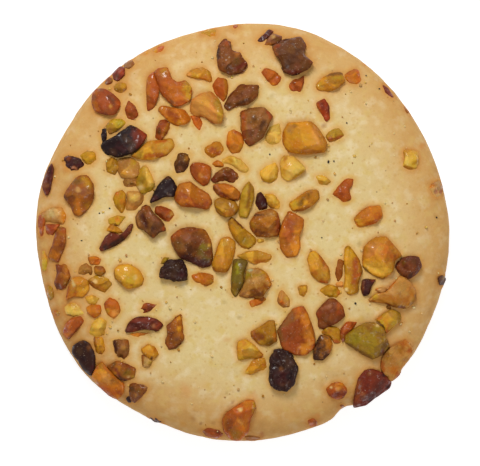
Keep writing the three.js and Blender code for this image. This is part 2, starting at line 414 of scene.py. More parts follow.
@dataclass(frozen=True)
class DoughFinish:
    """Dry-baked dough: a matte, finely crumbed cream that browns towards the rim and below, with
    painted shade darkening the rim's side away from the light.
    """

    mottle: float = 1.9 * MM
    crumb: float = 0.55 * MM
    grit: float = 0.2 * MM
    fleck: float = 0.85 * MM
    speck: float = 1.5 * MM
    relief: float = 0.1 * MM
    crust: tuple[tuple[float, Colour], ...] = (
        (0.0, (0.705, 0.545, 0.24)),
        (0.3, (0.685, 0.46, 0.184)),
        (0.6, (0.6, 0.324, 0.094)),
        (0.85, (0.41, 0.188, 0.04)),
        (1.0, (0.22, 0.095, 0.028)),
    )
    cream: Colour = (0.79, 0.645, 0.385)
    butter: Colour = (0.67, 0.475, 0.14)
    pale_crumb: Colour = (0.82, 0.66, 0.4)
    baked_crumb: Colour = (0.52, 0.34, 0.125)
    baked_grit: Colour = (0.36, 0.2, 0.07)
    # Painted contact shade: the tint that the dough is multiplied towards next to each topping.
    contact_shade_tint: Colour = (0.95, 0.75, 0.5)
    honey: Colour = (0.56, 0.3, 0.06)
    charred: Colour = (0.2, 0.1, 0.035)

    def material(self) -> bpy.types.Material:
        """Build the material, which reads the mesh's attributes: its browning with painted rim shade,
        its painted contact shade by the toppings, and its stains.
        """
        recipe = Recipe("dough")
        place = recipe.place()
        bake = recipe.attribute("bake")
        clouds = recipe.noise(place, self.mottle, 3, 0.6)
        # The browning read from the mesh includes painted shade on the rim's side away from the light.
        browning_and_shade = bake + (clouds - 0.5) * 0.28
        colour = recipe.add("ValToRGB", {"stops": self.crust}, {0: browning_and_shade})
        pale = 0.72 - bake * 0.8
        cream = recipe.noise(place, self.mottle * 1.1, 3).between(0.48, 0.7)
        colour = recipe.mix(cream * pale, colour, self.cream)
        butter = recipe.noise(place, self.mottle * 0.8, 3).between(0.5, 0.7)
        colour = recipe.mix(butter * pale, colour, self.butter)
        crumb = recipe.noise(place, self.crumb, 4, 0.65)
        grit = recipe.noise(place, self.grit, 2, 0.6)
        colour = recipe.mix(crumb.between(0.56, 0.74) * pale * 0.45, colour, self.pale_crumb)
        colour = recipe.mix((1 - crumb).between(0.54, 0.74) * 0.35, colour, self.baked_crumb)
        colour = recipe.mix((1 - grit).between(0.62, 0.76) * 0.2, colour, self.baked_grit)
        # Painted contact shade: the dough darkens towards its tint right next to the toppings.
        contact_shaded = recipe.mix(recipe.attribute("warm"), (1, 1, 1), self.contact_shade_tint)
        colour = recipe.mix(1, colour, contact_shaded, "MULTIPLY")
        stain = recipe.attribute("stain", "Color")
        colour = recipe.mix(recipe.attribute("stain", "Alpha"), colour, stain)
        flecks = self._specks(recipe, place, self.fleck, 0.5, 0.35)
        colour = recipe.mix(flecks * 0.35, colour, self.honey)
        specks = self._specks(recipe, place, self.speck, 0.87)
        colour = recipe.mix(specks * 0.6, colour, self.charred)
        normal = recipe.bump(crumb, self.relief, 0.8)
        normal = recipe.bump(grit, self.relief * 0.4, 0.7, normal)
        sockets = {
            "Base Color": colour,
            "Roughness": 0.72 + crumb * 0.18,
            "Specular IOR Level": 0.3,
            "Normal": normal,
        }
        return recipe.finish(sockets)

    @staticmethod
    def _specks(
        recipe: Recipe, place: Signal, apart: float, bare: float, size: float = 0.13
    ) -> Signal:
        """Return small round spots in some cells of a pattern.

        Args:
            recipe: the recipe that they belong to.
            place: where they are looked up.
            apart: the size of a cell, in metres.
            bare: the share of the cells that have none.
            size: how large they are in their cell.

        Returns:
            1 on a spot and 0 between them.
        """
        node = recipe.cells(place, apart)
        near = 1 - Signal(recipe, node.outputs["Distance"]).between(size * 0.4, size)
        lot = recipe.add("SeparateColor", {}, {0: Signal(recipe, node.outputs["Color"])})
        return near * lot.between(bare, bare + 0.06)


@dataclass(frozen=True)
class ToppingFinish:
    """A nut or fruit with a thin, uneven gloss and tiny painted glints: pale specks in its colour that
    stand in for highlights. Its colour is in the mesh's tint attribute.
    """

    name: str
    toast: float = 0.45
    light: float = 0.35
    streak: float = 0.35
    freckle: float = 0.1
    # How strongly the painted glints, pale specks standing in for highlights, are mixed in.
    painted_glints: float = 0.35
    rough: float = 0.42
    gloss: float = 0.5
    glow: float = 0.1
    bump: float = 0.1 * MM
    grain: float = 0.34 * MM
    cloud: float = 1.2 * MM
    fibre: float = 0.5 * MM
    blush: float = 2.1 * MM
    glint: float = 0.24 * MM
    puddle: float = 0.9 * MM
    ruddy: Colour = (1.03, 0.96, 0.9)
    golden: Colour = (1.0, 1.06, 1.04)
    toasted: Colour = (0.52, 0.39, 0.24)
    lit: Colour = (1.22, 1.34, 1.2)
    charred: Colour = (0.03, 0.012, 0.006)
    # The colour of the painted glints.
    painted_glint_tint: Colour = (0.8, 0.62, 0.42)

    def material(self) -> bpy.types.Material:
        """Build the material, which reads the mesh's tint and lie attributes."""
        recipe = Recipe(self.name)
        place = recipe.place()
        tint = recipe.attribute("tint", "Color")
        clouds = recipe.noise(place, self.cloud, 3, 0.62)
        fibres = recipe.noise(recipe.stretched("lie", (0.25, 1, 1)), self.fibre, 3, 0.6)
        grain = recipe.noise(place, self.grain, 3, 0.6)
        hue = recipe.noise(place, self.blush, 2).between(0.36, 0.64)
        hue = recipe.mix(hue, self.ruddy, self.golden)
        colour = recipe.mix(1, tint, hue, "MULTIPLY")
        bright = clouds.between(0.54, 0.74) * self.light
        colour = self._shaded(recipe, colour, bright, self.lit)
        dark = (1 - clouds).between(0.52, 0.74) * self.toast
        colour = self._shaded(recipe, colour, dark, self.toasted)
        fine = (1 - fibres).between(0.5, 0.72) * self.streak
        colour = self._shaded(recipe, colour, fine, self.toasted)
        dots = (1 - grain).between(0.62, 0.72) * self.freckle
        colour = recipe.mix(dots, colour, self.charred)
        # Painted glints: tiny pale specks mixed into the colour, standing in for highlights of the
        # light.
        glints = recipe.noise(place, self.glint, 2).between(0.66, 0.75)
        colour = recipe.mix(glints * self.painted_glints, colour, self.painted_glint_tint)
        normal = recipe.bump(fibres, self.bump, 0.9)
        normal = recipe.bump(grain, self.bump, 0.8, normal)
        wet = recipe.noise(place, self.puddle, 2).between(0.52, 0.66)
        sockets = {
            "Base Color": colour,
            "Roughness": self.rough + 0.2 - wet * 0.2,
            "Specular IOR Level": 0.25,
            "Coat Weight": wet * self.gloss,
            "Coat Roughness": 0.12,
            "Subsurface Weight": self.glow,
            "Subsurface Radius": (1.0, 0.5, 0.2),
            "Subsurface Scale": 0.4 * MM,
            "Normal": normal,
        }
        return recipe.finish(sockets)

    @staticmethod
    def _shaded(recipe: Recipe, colour: Signal, share: Signal, gain: Colour) -> Signal:
        """Return a colour multiplied by a gain, by a share that varies."""
        return recipe.mix(1, colour, recipe.mix(share, (1, 1, 1), gain), "MULTIPLY")


@dataclass(frozen=True)
class FloorFinish:
    """A plain matte white table that glows a little, so that shadows on it stay faint."""

    def material(self) -> bpy.types.Material:
        """Build the material."""
        recipe = Recipe("floor")
        sockets = {
            "Base Color": (0.55, 0.55, 0.55),
            "Roughness": 0.9,
            "Specular IOR Level": 0.2,
            "Emission Color": (1, 1, 1),
            "Emission Strength": 0.75,
        }
        return recipe.finish(sockets)


FINISHES: dict[str, ToppingFinish] = {
    finish.name: finish
    for finish in (
        ToppingFinish("almond_rust"),
        ToppingFinish("almond_amber", glow=0.15),
        ToppingFinish("cashew_gold", toast=0.3, streak=0.2, glow=0.15),
        ToppingFinish("cashew_straw", toast=0.25, streak=0.15, glow=0.15),
        ToppingFinish("pistachio_olive", streak=0.5),
        ToppingFinish("pistachio_green", streak=0.5),
        ToppingFinish("walnut_brown", toast=0.6, streak=0.5, freckle=0.3, painted_glints=0.5, glow=0.05),
        ToppingFinish("skin_maroon", toast=0.6, streak=0.6, freckle=0.2, gloss=0.6, glow=0.03),
        ToppingFinish(
            "raisin_black", toast=0.3, streak=0.2, rough=0.4, gloss=0.3, glow=0, bump=0.05 * MM
        ),
    )
}


# ---- The biscuit's form ------------------------------------------------------------------------


@dataclass(frozen=True)
class Wave:
    """A low wave in the top: crest to crest length, height and heading."""

    length: float
    height: float
    heading: float

    def at(self, x: float, y: float) -> float:
        """Return the wave's height over a point."""
        along = Vector((x, y, 0)).dot(heading_vector(self.heading))
        return self.height * math.sin(2 * math.pi * along / self.length)


@dataclass(frozen=True)
class BiscuitForm:
    """The outer shape of the biscuit: its outline is read from the solid's widest ring."""

    ring: tuple[float, ...]
    waist: float
    thickness: float = 10.8 * MM
    base_share: float = 0.93
    flatness: float = 4.4
    roundness: float = 2.2
    lean: float = 0.85
    waves: tuple[Wave, ...] = (Wave(33 * MM, 0.16 * MM, 20), Wave(21 * MM, 0.1 * MM, 115))

    @classmethod
    def from_node(cls, node: bpy.types.Object, steps: int = 72) -> "BiscuitForm":
        """Read the outline from the CAD biscuit.

        Args:
            node: the biscuit's object in the frame.
            steps: how many headings its widest ring was turned with.

        Returns:
            The form.
        """
        points = [vertex.co for vertex in node.data.vertices]
        waist = max(points, key=lambda p: math.hypot(p.x, p.y)).z
        found: dict[int, float] = {}
        for point in points:
            if abs(point.z - waist) < 0.01 * MM:
                turn = round(math.atan2(point.y, point.x) / (2 * math.pi) * steps) % steps
                found[turn] = max(found.get(turn, 0), math.hypot(point.x, point.y))
        ring = []
        for turn in range(steps):
            before = next(turn - k for k in range(steps) if (turn - k) % steps in found)
            after = next(turn + k for k in range(steps) if (turn + k) % steps in found)
            share = (turn - before) / max(1, after - before)
            ring.append(blend(found[before % steps], found[after % steps], share))
        return cls(tuple(ring), waist)

    def radius(self, heading: float) -> float:
        """Return the outline's radius at a heading in radians, on a smooth curve through the ring."""
        steps = len(self.ring)
        place = heading / (2 * math.pi) * steps
        first = math.floor(place)
        t = place - first
        a, b, c, d = (self.ring[(first + k) % steps] for k in (-1, 0, 1, 2))
        return b + 0.5 * t * (c - a + t * (2 * a - 5 * b + 4 * c - d + t * (3 * (b - c) + d - a)))

    def height(self, x: float, y: float) -> float:
        """Return the height of the top over a point."""
        share = math.hypot(x, y) / self.radius(math.atan2(y, x))
        inside = max(0.0, 1 - share**self.flatness)
        dome = blend(self.waist, self.thickness, inside ** (1 / self.roundness))
        return dome + inside * sum(wave.at(x, y) for wave in self.waves)

    def normal(self, x: float, y: float, reach: float = 0.4 * MM) -> Vector:
        """Return the direction that a topping at a point stands in."""
        across = self.height(x - reach, y) - self.height(x + reach, y)
        along = self.height(x, y - reach) - self.height(x, y + reach)
        return Vector((self.lean * across, self.lean * along, 2 * reach)).normalized()

    def profile(self, steps: int = 240) -> list[tuple[float, float]]:
        """Return radius shares and heights from the top's middle to the waist, evenly apart."""
        raw = []
        for i in range(8 * steps + 1):
            angle = math.pi / 2 * (1 - i / (8 * steps))
            share = math.cos(angle) ** (2 / self.flatness)
            rise = math.sin(angle) ** (2 / self.roundness)
            raw.append((share, blend(self.waist, self.thickness, rise)))
        raw[0] = (0.0, self.thickness)
        radius = sum(self.ring) / len(self.ring)
        lengths = [0.0]
        for (share, height), (last_share, last_height) in zip(raw[1:], raw):
            step = math.hypot((share - last_share) * radius, height - last_height)
            lengths.append(lengths[-1] + step)
        even = []
        spot = 0
        for i in range(steps + 1):
            goal = lengths[-1] * i / steps
            while spot < len(lengths) - 2 and lengths[spot + 1] < goal:
                spot += 1
            part = (goal - lengths[spot]) / max(1e-12, lengths[spot + 1] - lengths[spot])
            part = min(1.0, max(0.0, part))
            (share, height), (next_share, next_height) = raw[spot], raw[spot + 1]
            even.append((blend(share, next_share, part), blend(height, next_height, part)))
        return even


# ---- Toppings ----------------------------------------------------------------------------------


@dataclass(frozen=True)
class Relief:
    """How a kind of topping is broken and what its surface is like, in metres.

    Each pair is a depth and a feature size. lumps are broad swells, furrows run along the length,
    folds are sharp creases, and grain is fine unevenness. breaks is how many flat faces slant down
    from its top, slope how steep they are at most, and crown how far its edge is worn round.
    """

    lumps: tuple[float, float] = (0.17 * MM, 1.5 * MM)
    furrows: tuple[float, float] = (0.07 * MM, 0.6 * MM)
    folds: tuple[float, float] = (0.0, 1.0 * MM)
    grain: tuple[float, float] = (0.08 * MM, 0.55 * MM)
    breaks: int = 5
    slope: float = 0.9
    crown: float = 0.42 * MM

    def rise(self, place: Vector) -> float:
        """Return how far the surface stands out at a place on the piece, seen along its length."""
        depth, size = self.lumps
        total = depth * noise.noise(place / size)
        depth, size = self.furrows
        total += depth * noise.noise(Vector((place.x / (5 * size), place.y / size, place.z / size)))
        depth, size = self.folds
        if depth:
            bent = place / size + 0.5 * noise.noise_vector(place / (1.6 * size))
            total -= depth * ridge(noise.noise(bent))
        depth, size = self.grain
        return total + depth * noise.noise(place / size)


RELIEFS: dict[str, Relief] = {
    "almond": Relief(),
    "cashew": Relief(lumps=(0.16 * MM, 1.9 * MM), breaks=4, slope=0.7, crown=0.5 * MM),
    "pistachio": Relief(lumps=(0.15 * MM, 2 * MM), furrows=(0.08 * MM, 0.55 * MM)),
    "walnut": Relief(lumps=(0.2 * MM, 1.9 * MM), folds=(0.2 * MM, 1.4 * MM), slope=0.7),
    "skin": Relief(furrows=(0.08 * MM, 0.5 * MM), breaks=4),
    "raisin": Relief(lumps=(0.2 * MM, 2.2 * MM), folds=(0.12 * MM, 1.7 * MM), breaks=3, slope=0.4),
    "raisin_01": Relief(lumps=(0.35 * MM, 1.3 * MM), folds=(0.4 * MM, 1.2 * MM), breaks=2, slope=0.4),
    "raisin_04": Relief(lumps=(0.3 * MM, 1.2 * MM), folds=(0.35 * MM, 1.1 * MM), breaks=2, slope=0.4),
}


@dataclass(frozen=True)
class Bed:
    """Where a topping lies: a slanted plane through its middle, bent a little to the dough."""

    form: BiscuitForm
    middle: Vector
    slant: Vector
    give: float = 0.5

    @classmethod
    def under(cls, form: BiscuitForm, contour: Sequence[Vector]) -> "Bed":
        """Return the bed of a piece with this outline."""
        middle = sum(contour, Vector()) / len(contour)
        up = form.normal(middle.x, middle.y)
        slant = Vector((-up.x, -up.y, 0)) / max(up.z, 0.6)
        return cls(form, middle, slant)

    def level(self, x: float, y: float) -> float:
        """Return the bed's height over a point."""
        plane = self.form.height(self.middle.x, self.middle.y)
        plane += self.slant.dot(Vector((x, y, 0)) - self.middle)
        return blend(plane, self.form.height(x, y), self.give)


@dataclass
class Skin:
    """The attribute layers of a topping's mesh, and how a piece is given its surface and colours.

    EDGES holds, for each colour channel, how much is left where the side is steep, how much glare
    is taken off, and how strongly the tone of a face counts. The darker steep sides are painted
    shade, and partly a darker baked edge; the face tones are painted facet shading. PIT holds how
    far a dark mark sinks at most, how far a pale one rises, and how fast. SHIFT keeps two pieces'
    patterns apart.
    """

    EDGES: ClassVar[tuple[tuple[float, float, float], ...]] = (
        (0.98, 0.0, 0.9),
        (0.84, 0.006, 1.2),
        (0.62, 0.02, 1.5),
    )
    FULL: ClassVar[float] = 1.05
    PIT: ClassVar[tuple[float, float, float]] = (0.12, -0.06, 0.2)
    SHIFT: ClassVar[tuple[float, float, float]] = (3.1, 1.7, 0.9)

    mesh: bmesh.types.BMesh
    tint: object = field(init=False)
    lie: object = field(init=False)

    def __post_init__(self) -> None:
        """Add the layers to the mesh."""
        self.tint = self.mesh.verts.layers.float_color.new("tint")
        self.lie = self.mesh.verts.layers.float_vector.new("lie")

    def dress(
        self, chip: Chip, relief: Relief, lie: Matrix, seed: int, tones: Sequence[float]
    ) -> None:
        """Give the piece its relief and colours.

        Args:
            chip: its colours.
            relief: its kind of surface.
            lie: from the model's directions to its own, with its length along X.
            seed: a number of its own, so that no two pieces share their pattern.
            tones: how light each vertex is.
        """
        shift = Vector([seed * part for part in self.SHIFT]) * MM
        deepest, highest, gain = self.PIT
        self.mesh.normal_update()
        for vert, tone in zip(self.mesh.verts, tones):
            pattern = lie @ vert.co + shift
            vert[self.lie] = pattern
            wobble = noise.noise(pattern / (0.8 * MM)) + 0.6 * noise.noise(pattern / (0.35 * MM))
            colour, dark = chip.colour(vert.co.x / MM, vert.co.y / MM, wobble)
            # How far the surface faces up. The colour below is darkened on steep sides, as painted
            # shade and partly a darker baked edge, and the relief is weaker there.
            worn = ease(0.0, 0.9, vert.normal.z + 0.3 * noise.noise(pattern / (0.9 * MM)))
            for i, (edge, glare, power) in enumerate(self.EDGES):
                shade = blend(edge, self.FULL, worn) * tone**power
                colour[i] = max(0.002, (colour[i] - glare) * shade)
            vert[self.tint] = (*colour, 1)
            hollow = min(deepest, max(highest, gain * dark)) * MM * max(0.0, vert.normal.z)
            vert.co += vert.normal * (relief.rise(pattern) * blend(0.5, 1, worn) - hollow)


def finished_object(
    mesh: bmesh.types.BMesh, name: str, material: bpy.types.Material
) -> bpy.types.Object:
    """Turn a bmesh into a smooth-shaded object with one material.

    Args:
        mesh: the piece, in the model's own place. It is freed.
        name: the object's name.
        material: its material.

    Returns:
        The object, linked to the scene.
    """
    data = bpy.data.meshes.new(name)
    mesh.to_mesh(data)
    mesh.free()
    data.shade_smooth()
    data.materials.append(material)
    piece = bpy.data.objects.new(name, data)
    bpy.context.scene.collection.objects.link(piece)
    return piece


@dataclass(frozen=True)
class Carver:
    """Makes a topping's body from its outline: a slab with a worn edge and flat breaks.

    BEVEL holds the width and height of the edge's two steps, in crowns. A break starts at STARTS
    of the piece's half breadth and has SLOPES of its kind's steepness and a tone in TONES, while
    the rest of the top has the tone PLAIN. These tones, drawn at random, are painted light and shade
    on the broken faces, and partly the paler flesh of a fresh cut. WAVER is how much the breaks
    wander, and how soon, SEAM how wide the change of tone is, and DEEPEST the share of its height
    that may be lost.
    """

    BEVEL: ClassVar[tuple[tuple[float, float], ...]] = ((0.35, 0.62), (0.75, 0.38))
    STARTS: ClassVar[tuple[float, float]] = (-0.25, 0.65)
    SLOPES: ClassVar[tuple[float, float]] = (0.3, 1)
    TONES: ClassVar[tuple[float, float]] = (0.7, 1.14)
    PLAIN: ClassVar[float] = 1.06
    WAVER: ClassVar[tuple[float, float]] = (0.25 * MM, 1.1 * MM)
    SEAM: ClassVar[float] = 0.08 * MM
    DEEPEST: ClassVar[float] = 0.6

    form: BiscuitForm
    pitch: float = 0.17 * MM
    smoothing: int = 2

    def carve(
        self, chip: Chip, kind: str, stands: float, sunk: float, seed: int
    ) -> bmesh.types.BMesh:
        """Return a topping's mesh on its bed, with its surface and colours.

        Args:
            chip: its outline and colours.
            kind: its name or its finish, which start with the kind that names its relief.
            stands: how far it stands out of the dough, in metres.
            sunk: how far it reaches into the dough.
            seed: a number of its own.
        """
        relief = RELIEFS.get(kind) or RELIEFS[kind.split("_")[0]]
        contour = chip.contour()
        mesh = self._evened(self._slab(contour, relief, stands, sunk))
        tones = self._break(mesh, contour, relief, stands, seed)
        skin = Skin(mesh)
        skin.dress(chip, relief, self._lie(contour), seed, tones)
        bed = Bed.under(self.form, contour)
        for vert in mesh.verts:
            vert.co.z += bed.level(vert.co.x, vert.co.y)
        return mesh

    @staticmethod
    def _slab(
        contour: Sequence[Vector], relief: Relief, stands: float, sunk: float
    ) -> bmesh.types.BMesh:
        """Return a closed slab with that outline whose top edge slants in two steps."""
        mesh = bmesh.new()
        low = [mesh.verts.new(point - UP * sunk) for point in contour]
        base = mesh.faces.new(low)
        crown = min(relief.crown, Carver.DEEPEST * stands, 0.3 * Carver._breadth(contour))
        made = bmesh.ops.extrude_face_region(mesh, geom=[base], use_keep_orig=True)["geom"]
        top = next(part for part in made if isinstance(part, bmesh.types.BMFace))
        bmesh.ops.translate(mesh, vec=UP * (sunk + stands - crown), verts=top.verts)
        base.normal_flip()
        for width, rise in Carver.BEVEL:
            bmesh.ops.inset_region(
                mesh,
                faces=[top],
                thickness=width * crown,
                depth=rise * crown,
                use_boundary=True,
            )
        bmesh.ops.recalc_face_normals(mesh, faces=mesh.faces)
        return mesh

    @staticmethod
    def _breadth(contour: Sequence[Vector]) -> float:
        """Return about half the breadth of an outline: twice its area over its length."""
        pairs = list(zip(contour, [*contour[1:], contour[0]]))
        area = abs(sum(a.cross(b).z for a, b in pairs)) / 2
        return 2 * area / sum((b - a).length for a, b in pairs)

    def _evened(self, mesh: bmesh.types.BMesh) -> bmesh.types.BMesh:
        """Return the same body as an even fine mesh with slightly worn edges."""
        data = bpy.data.meshes.new("coarse")
        mesh.to_mesh(data)
        mesh.free()
        coarse = bpy.data.objects.new("coarse", data)
        bpy.context.scene.collection.objects.link(coarse)
        remesh = coarse.modifiers.new("even", "REMESH")
        remesh.mode = "VOXEL"
        remesh.voxel_size = self.pitch
        even = coarse.evaluated_get(bpy.context.evaluated_depsgraph_get())
        fine = bmesh.new()
        fine.from_mesh(even.to_mesh())
        even.to_mesh_clear()
        bpy.data.objects.remove(coarse)
        bpy.data.meshes.remove(data)
        for _ in range(self.smoothing):
            bmesh.ops.smooth_vert(
                fine,
                verts=fine.verts,
                factor=0.5,
                use_axis_x=True,
                use_axis_y=True,
                use_axis_z=True,
            )
        return fine

    def _break(
        self,
        mesh: bmesh.types.BMesh,
        contour: Sequence[Vector],
        relief: Relief,
        stands: float,
        seed: int,
    ) -> list[float]:
        """Slant the top down in a few flat faces, as where a nut was chopped.

        Returns:
            How light each vertex is: every face has a tone of its own.
        """
        lots = random.Random(seed)
        middle = sum(contour, Vector()) / len(contour)
        half = sum((point - middle).length for point in contour) / len(contour)
        faces = []
        for i in range(relief.breaks):
            toward = heading_vector(360 * (i + 0.8 * lots.random()) / relief.breaks)
            start = blend(*self.STARTS, lots.random()) * half
            slope = relief.slope * blend(*self.SLOPES, lots.random())
            faces.append((toward, start, slope, blend(*self.TONES, lots.random())))
        depth, size = self.WAVER
        tones = []
        for vert in mesh.verts:
            place = Vector((vert.co.x, vert.co.y, 0)) - middle
            place += noise.noise_vector(vert.co / size + UP * seed) * depth
            fall, tone = max(
                ((place.dot(toward) - start) * slope, tone) for toward, start, slope, tone in faces
            )
            tones.append(blend(self.PLAIN, tone, ease(0, self.SEAM, fall)))
            fall = min(max(0.0, fall), self.DEEPEST * stands)
            vert.co.z -= fall * ease(-0.1 * MM, 0.7 * stands, vert.co.z)
        return tones

    @staticmethod
    def _lie(contour: Sequence[Vector]) -> Matrix:
        """Return the turn from the model's directions to a piece's own, its length along X."""
        middle = sum(contour, Vector()) / len(contour)
        points = [point - middle for point in contour]
        xx = sum(p.x * p.x for p in points)
        yy = sum(p.y * p.y for p in points)
        xy = sum(p.x * p.y for p in points)
        turn = Matrix.Rotation(-0.5 * math.atan2(2 * xy, xx - yy), 4, "Z")
        return turn @ Matrix.Translation(-middle)


@dataclass
class LargeToppings:
    """The toppings that have a solid in the model: each stands in its solid's own height."""

    form: BiscuitForm
    slots: dict[str, str]
    chips: dict[str, Chip]
    materials: dict[str, bpy.types.Material]
    least: float = 0.9 * MM
    sunk: float = 1.4 * MM

    def build(self) -> list[bpy.types.Object]:
        """Make every large topping and return the objects."""
        pieces = []
        carver = Carver(self.form)
        for seed, name in enumerate(sorted(self.chips), start=1):
            low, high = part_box(name)
            middle = (low + high) / 2
            stands = max(self.least, high.z - self.form.height(middle.x, middle.y))
            mesh = carver.carve(self.chips[name], name, stands, self.sunk, seed)
            self._settle(mesh, low.z, high.z)
            slot = self.slots[name]
            piece = finished_object(mesh, f"{name}_baked", self.materials[slot])
            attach(piece, BODY)
            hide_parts(name)
            pieces.append(piece)
        LOG.info("large toppings: %d", len(pieces))
        return pieces

    @staticmethod
    def _settle(mesh: bmesh.types.BMesh, low: float, high: float) -> None:
        """Stretch a mesh upwards or downwards to fill the heights of its solid."""
        least = min(vert.co.z for vert in mesh.verts)
        most = max(vert.co.z for vert in mesh.verts)
        for vert in mesh.verts:
            vert.co.z = low + (vert.co.z - least) * (high - low) / (most - least)


@dataclass
class SmallToppings:
    """The toppings too small for solids of their own: one joined piece for each finish."""

    form: BiscuitForm
    chips: dict[str, tuple[Chip, ...]]
    materials: dict[str, bpy.types.Material]
    pitch: float = 0.15 * MM
    sunk: float = 0.7 * MM
    seed: int = 400

    def build(self) -> list[bpy.types.Object]:
        """Make the pieces and return the objects."""
        pieces = []
        carver = Carver(self.form, self.pitch)
        seed = self.seed
        for finish, chips in self.chips.items():
            joined = bmesh.new()
            for chip in chips:
                seed += 1
                mesh = carver.carve(chip, finish, chip.stands * MM, self.sunk, seed)
                data = bpy.data.meshes.new("bit")
                mesh.to_mesh(data)
                mesh.free()
                joined.from_mesh(data)
                bpy.data.meshes.remove(data)
            piece = finished_object(joined, f"bits_{finish}", self.materials[finish])
            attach(piece, BODY)
            pieces.append(piece)
            LOG.info("small toppings in %s: %d", finish, len(chips))
        return pieces


@dataclass
class Dough:
    """The biscuit itself: a crumbed top that hugs its toppings, a rolled rim and a flat base."""

    form: BiscuitForm
    toppings: BVHTree
    material: bpy.types.Material
    stains: Sequence[Mark]
    cells: int = 250
    under_rings: int = 7
    base_rings: tuple[float, ...] = (0.9, 0.84, 0.7, 0.5, 0.3, 0.12)
    palest: float = math.radians(75)
    swells: tuple[tuple[float, float], ...] = (
        (0.13 * MM, 6.5 * MM),
        (0.07 * MM, 2.3 * MM),
        (0.04 * MM, 0.9 * MM),
    )
    top_bake: float = 0.06
    # The rim's browning at its palest and darkest headings: the difference between them is painted
    # shade.
    rim_bake_and_shade: tuple[float, float] = (0.52, 0.62)
    base_bake: float = 0.5
    cloud_bake: tuple[float, float] = (0.07, 7 * MM)
    lip: float = 0.2 * MM
    lip_reach: float = 0.5 * MM
    lip_waver: float = 1.7 * MM
    dip: float = 0.05 * MM
    dip_reach: float = 1.4 * MM
    contact_shade_reach: float = 0.65 * MM
    far: float = 3 * MM

    def build(self) -> bpy.types.Object:
        """Make the dough and return the object."""
        mesh = bmesh.new()
        made = bmesh.ops.create_grid(mesh, x_segments=self.cells, y_segments=self.cells, size=1)
        self._spread(made["verts"])
        self._close_below(mesh)
        bmesh.ops.recalc_face_normals(mesh, faces=mesh.faces)
        mesh.normal_update()
        bake = mesh.verts.layers.float.new("bake")
        warm = mesh.verts.layers.float.new("warm")
        stain = mesh.verts.layers.float_color.new("stain")
        gaps = [self._gap(vert.co) for vert in mesh.verts]
        for vert, gap in zip(mesh.verts, gaps):
            vert[bake] = self._bake_and_shade(vert.co)
            # Painted contact shade, strongest right next to a topping and gone a little way off.
            vert[warm] = self._upper(vert.co) * math.exp(-((gap / self.contact_shade_reach) ** 2))
            vert[stain] = self._stain(vert.co)
        moves = [self._relief(vert, gap) for vert, gap in zip(mesh.verts, gaps)]
        for vert, move in zip(mesh.verts, moves):
            vert.co += move
        piece = finished_object(mesh, "dough", self.material)
        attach(piece, BODY)
        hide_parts("biscuit")
        LOG.info("dough: %d faces", len(piece.data.polygons))
        return piece

    def _spread(self, verts: Iterable[bmesh.types.BMVert]) -> None:
        """Lay a square grid over the whole top, down to the waist, with even cells."""
        even = self.form.profile()
        for vert in verts:
            a, b = vert.co.x, vert.co.y
            reach = max(abs(a), abs(b))
            if reach < 1e-9:
                heading = 0.0
            elif abs(a) > abs(b):
                heading = math.pi / 4 * b / a + (math.pi if a < 0 else 0)
            else:
                heading = math.pi / 2 - math.pi / 4 * a / b + (math.pi if b < 0 else 0)
            step = min(reach, 1.0) * (len(even) - 1)
            first = min(int(step), len(even) - 2)
            share, height = (blend(p, q, step - first) for p, q in zip(even[first], even[first + 1]))
            radius = share * self.form.radius(heading)
            x, y = radius * math.cos(heading), radius * math.sin(heading)
            inside = max(0.0, 1 - share**self.form.flatness)
            waves = inside * sum(wave.at(x, y) for wave in self.form.waves)
            vert.co = Vector((x, y, height + waves))

    def _close_below(self, mesh: bmesh.types.BMesh) -> None:
        """Carry the rim on under the waist and close the flat base."""
        edges = [edge for edge in mesh.edges if edge.is_boundary]
        form = self.form
        rings = []
        for i in range(1, self.under_rings + 1):
            angle = math.pi / 2 * (1 - i / self.under_rings)
            share = blend(form.base_share, 1, math.sin(angle))
            rings.append((share, form.waist * (1 - math.cos(angle))))
        rings += [(share, 0.0) for share in self.base_rings]
        for share, height in rings:
            made = bmesh.ops.extrude_edge_only(mesh, edges=edges)["geom"]
            edges = [part for part in made if isinstance(part, bmesh.types.BMEdge)]
            for vert in (part for part in made if isinstance(part, bmesh.types.BMVert)):
                heading = math.atan2(vert.co.y, vert.co.x)
                radius = share * form.radius(heading)
                vert.co = Vector((radius * math.cos(heading), radius * math.sin(heading), height))
        bmesh.ops.contextual_create(mesh, geom=edges)

    def _bake_and_shade(self, place: Vector) -> float:
        """Return how far the dough is browned, from 0 to 1, with painted shade that darkens the rim on
        the side away from the light.
        """
        heading = math.atan2(place.y, place.x)
        share = math.hypot(place.x, place.y) / self.form.radius(heading)
        # Painted shade: the rim browns more the further it turns from the palest heading, on top of its
        # baked colour.
        shade = 0.5 - 0.5 * math.cos(heading - self.palest)
        rim = ease(0.6, 1.0, share) * blend(*self.rim_bake_and_shade, shade)
        low = ease(self.form.waist * 1.3, 0, place.z) * self.base_bake
        depth, size = self.cloud_bake
        return self.top_bake + rim + low + depth * noise.noise(place / size)

    def _stain(self, place: Vector) -> tuple[float, float, float, float]:
        """Return the colour that a nut left in the dough here, and how strong it is."""
        x, y = place.x / MM, place.y / MM
        wobble = noise.noise(place / (0.8 * MM))
        for mark in self.stains:
            if abs(x - mark.start[0]) + abs(y - mark.start[1]) < 4 * mark.reach:
                return (*mark.tint.linear, self._upper(place) * mark.cover(x, y, wobble))
        return (0, 0, 0, 0)

    def _upper(self, place: Vector) -> float:
        """Return 1 on the top and 0 on the base, where there is neither nut stain nor painted contact
        shade.
        """
        return ease(0.3, 0.9, place.z / self.form.waist)

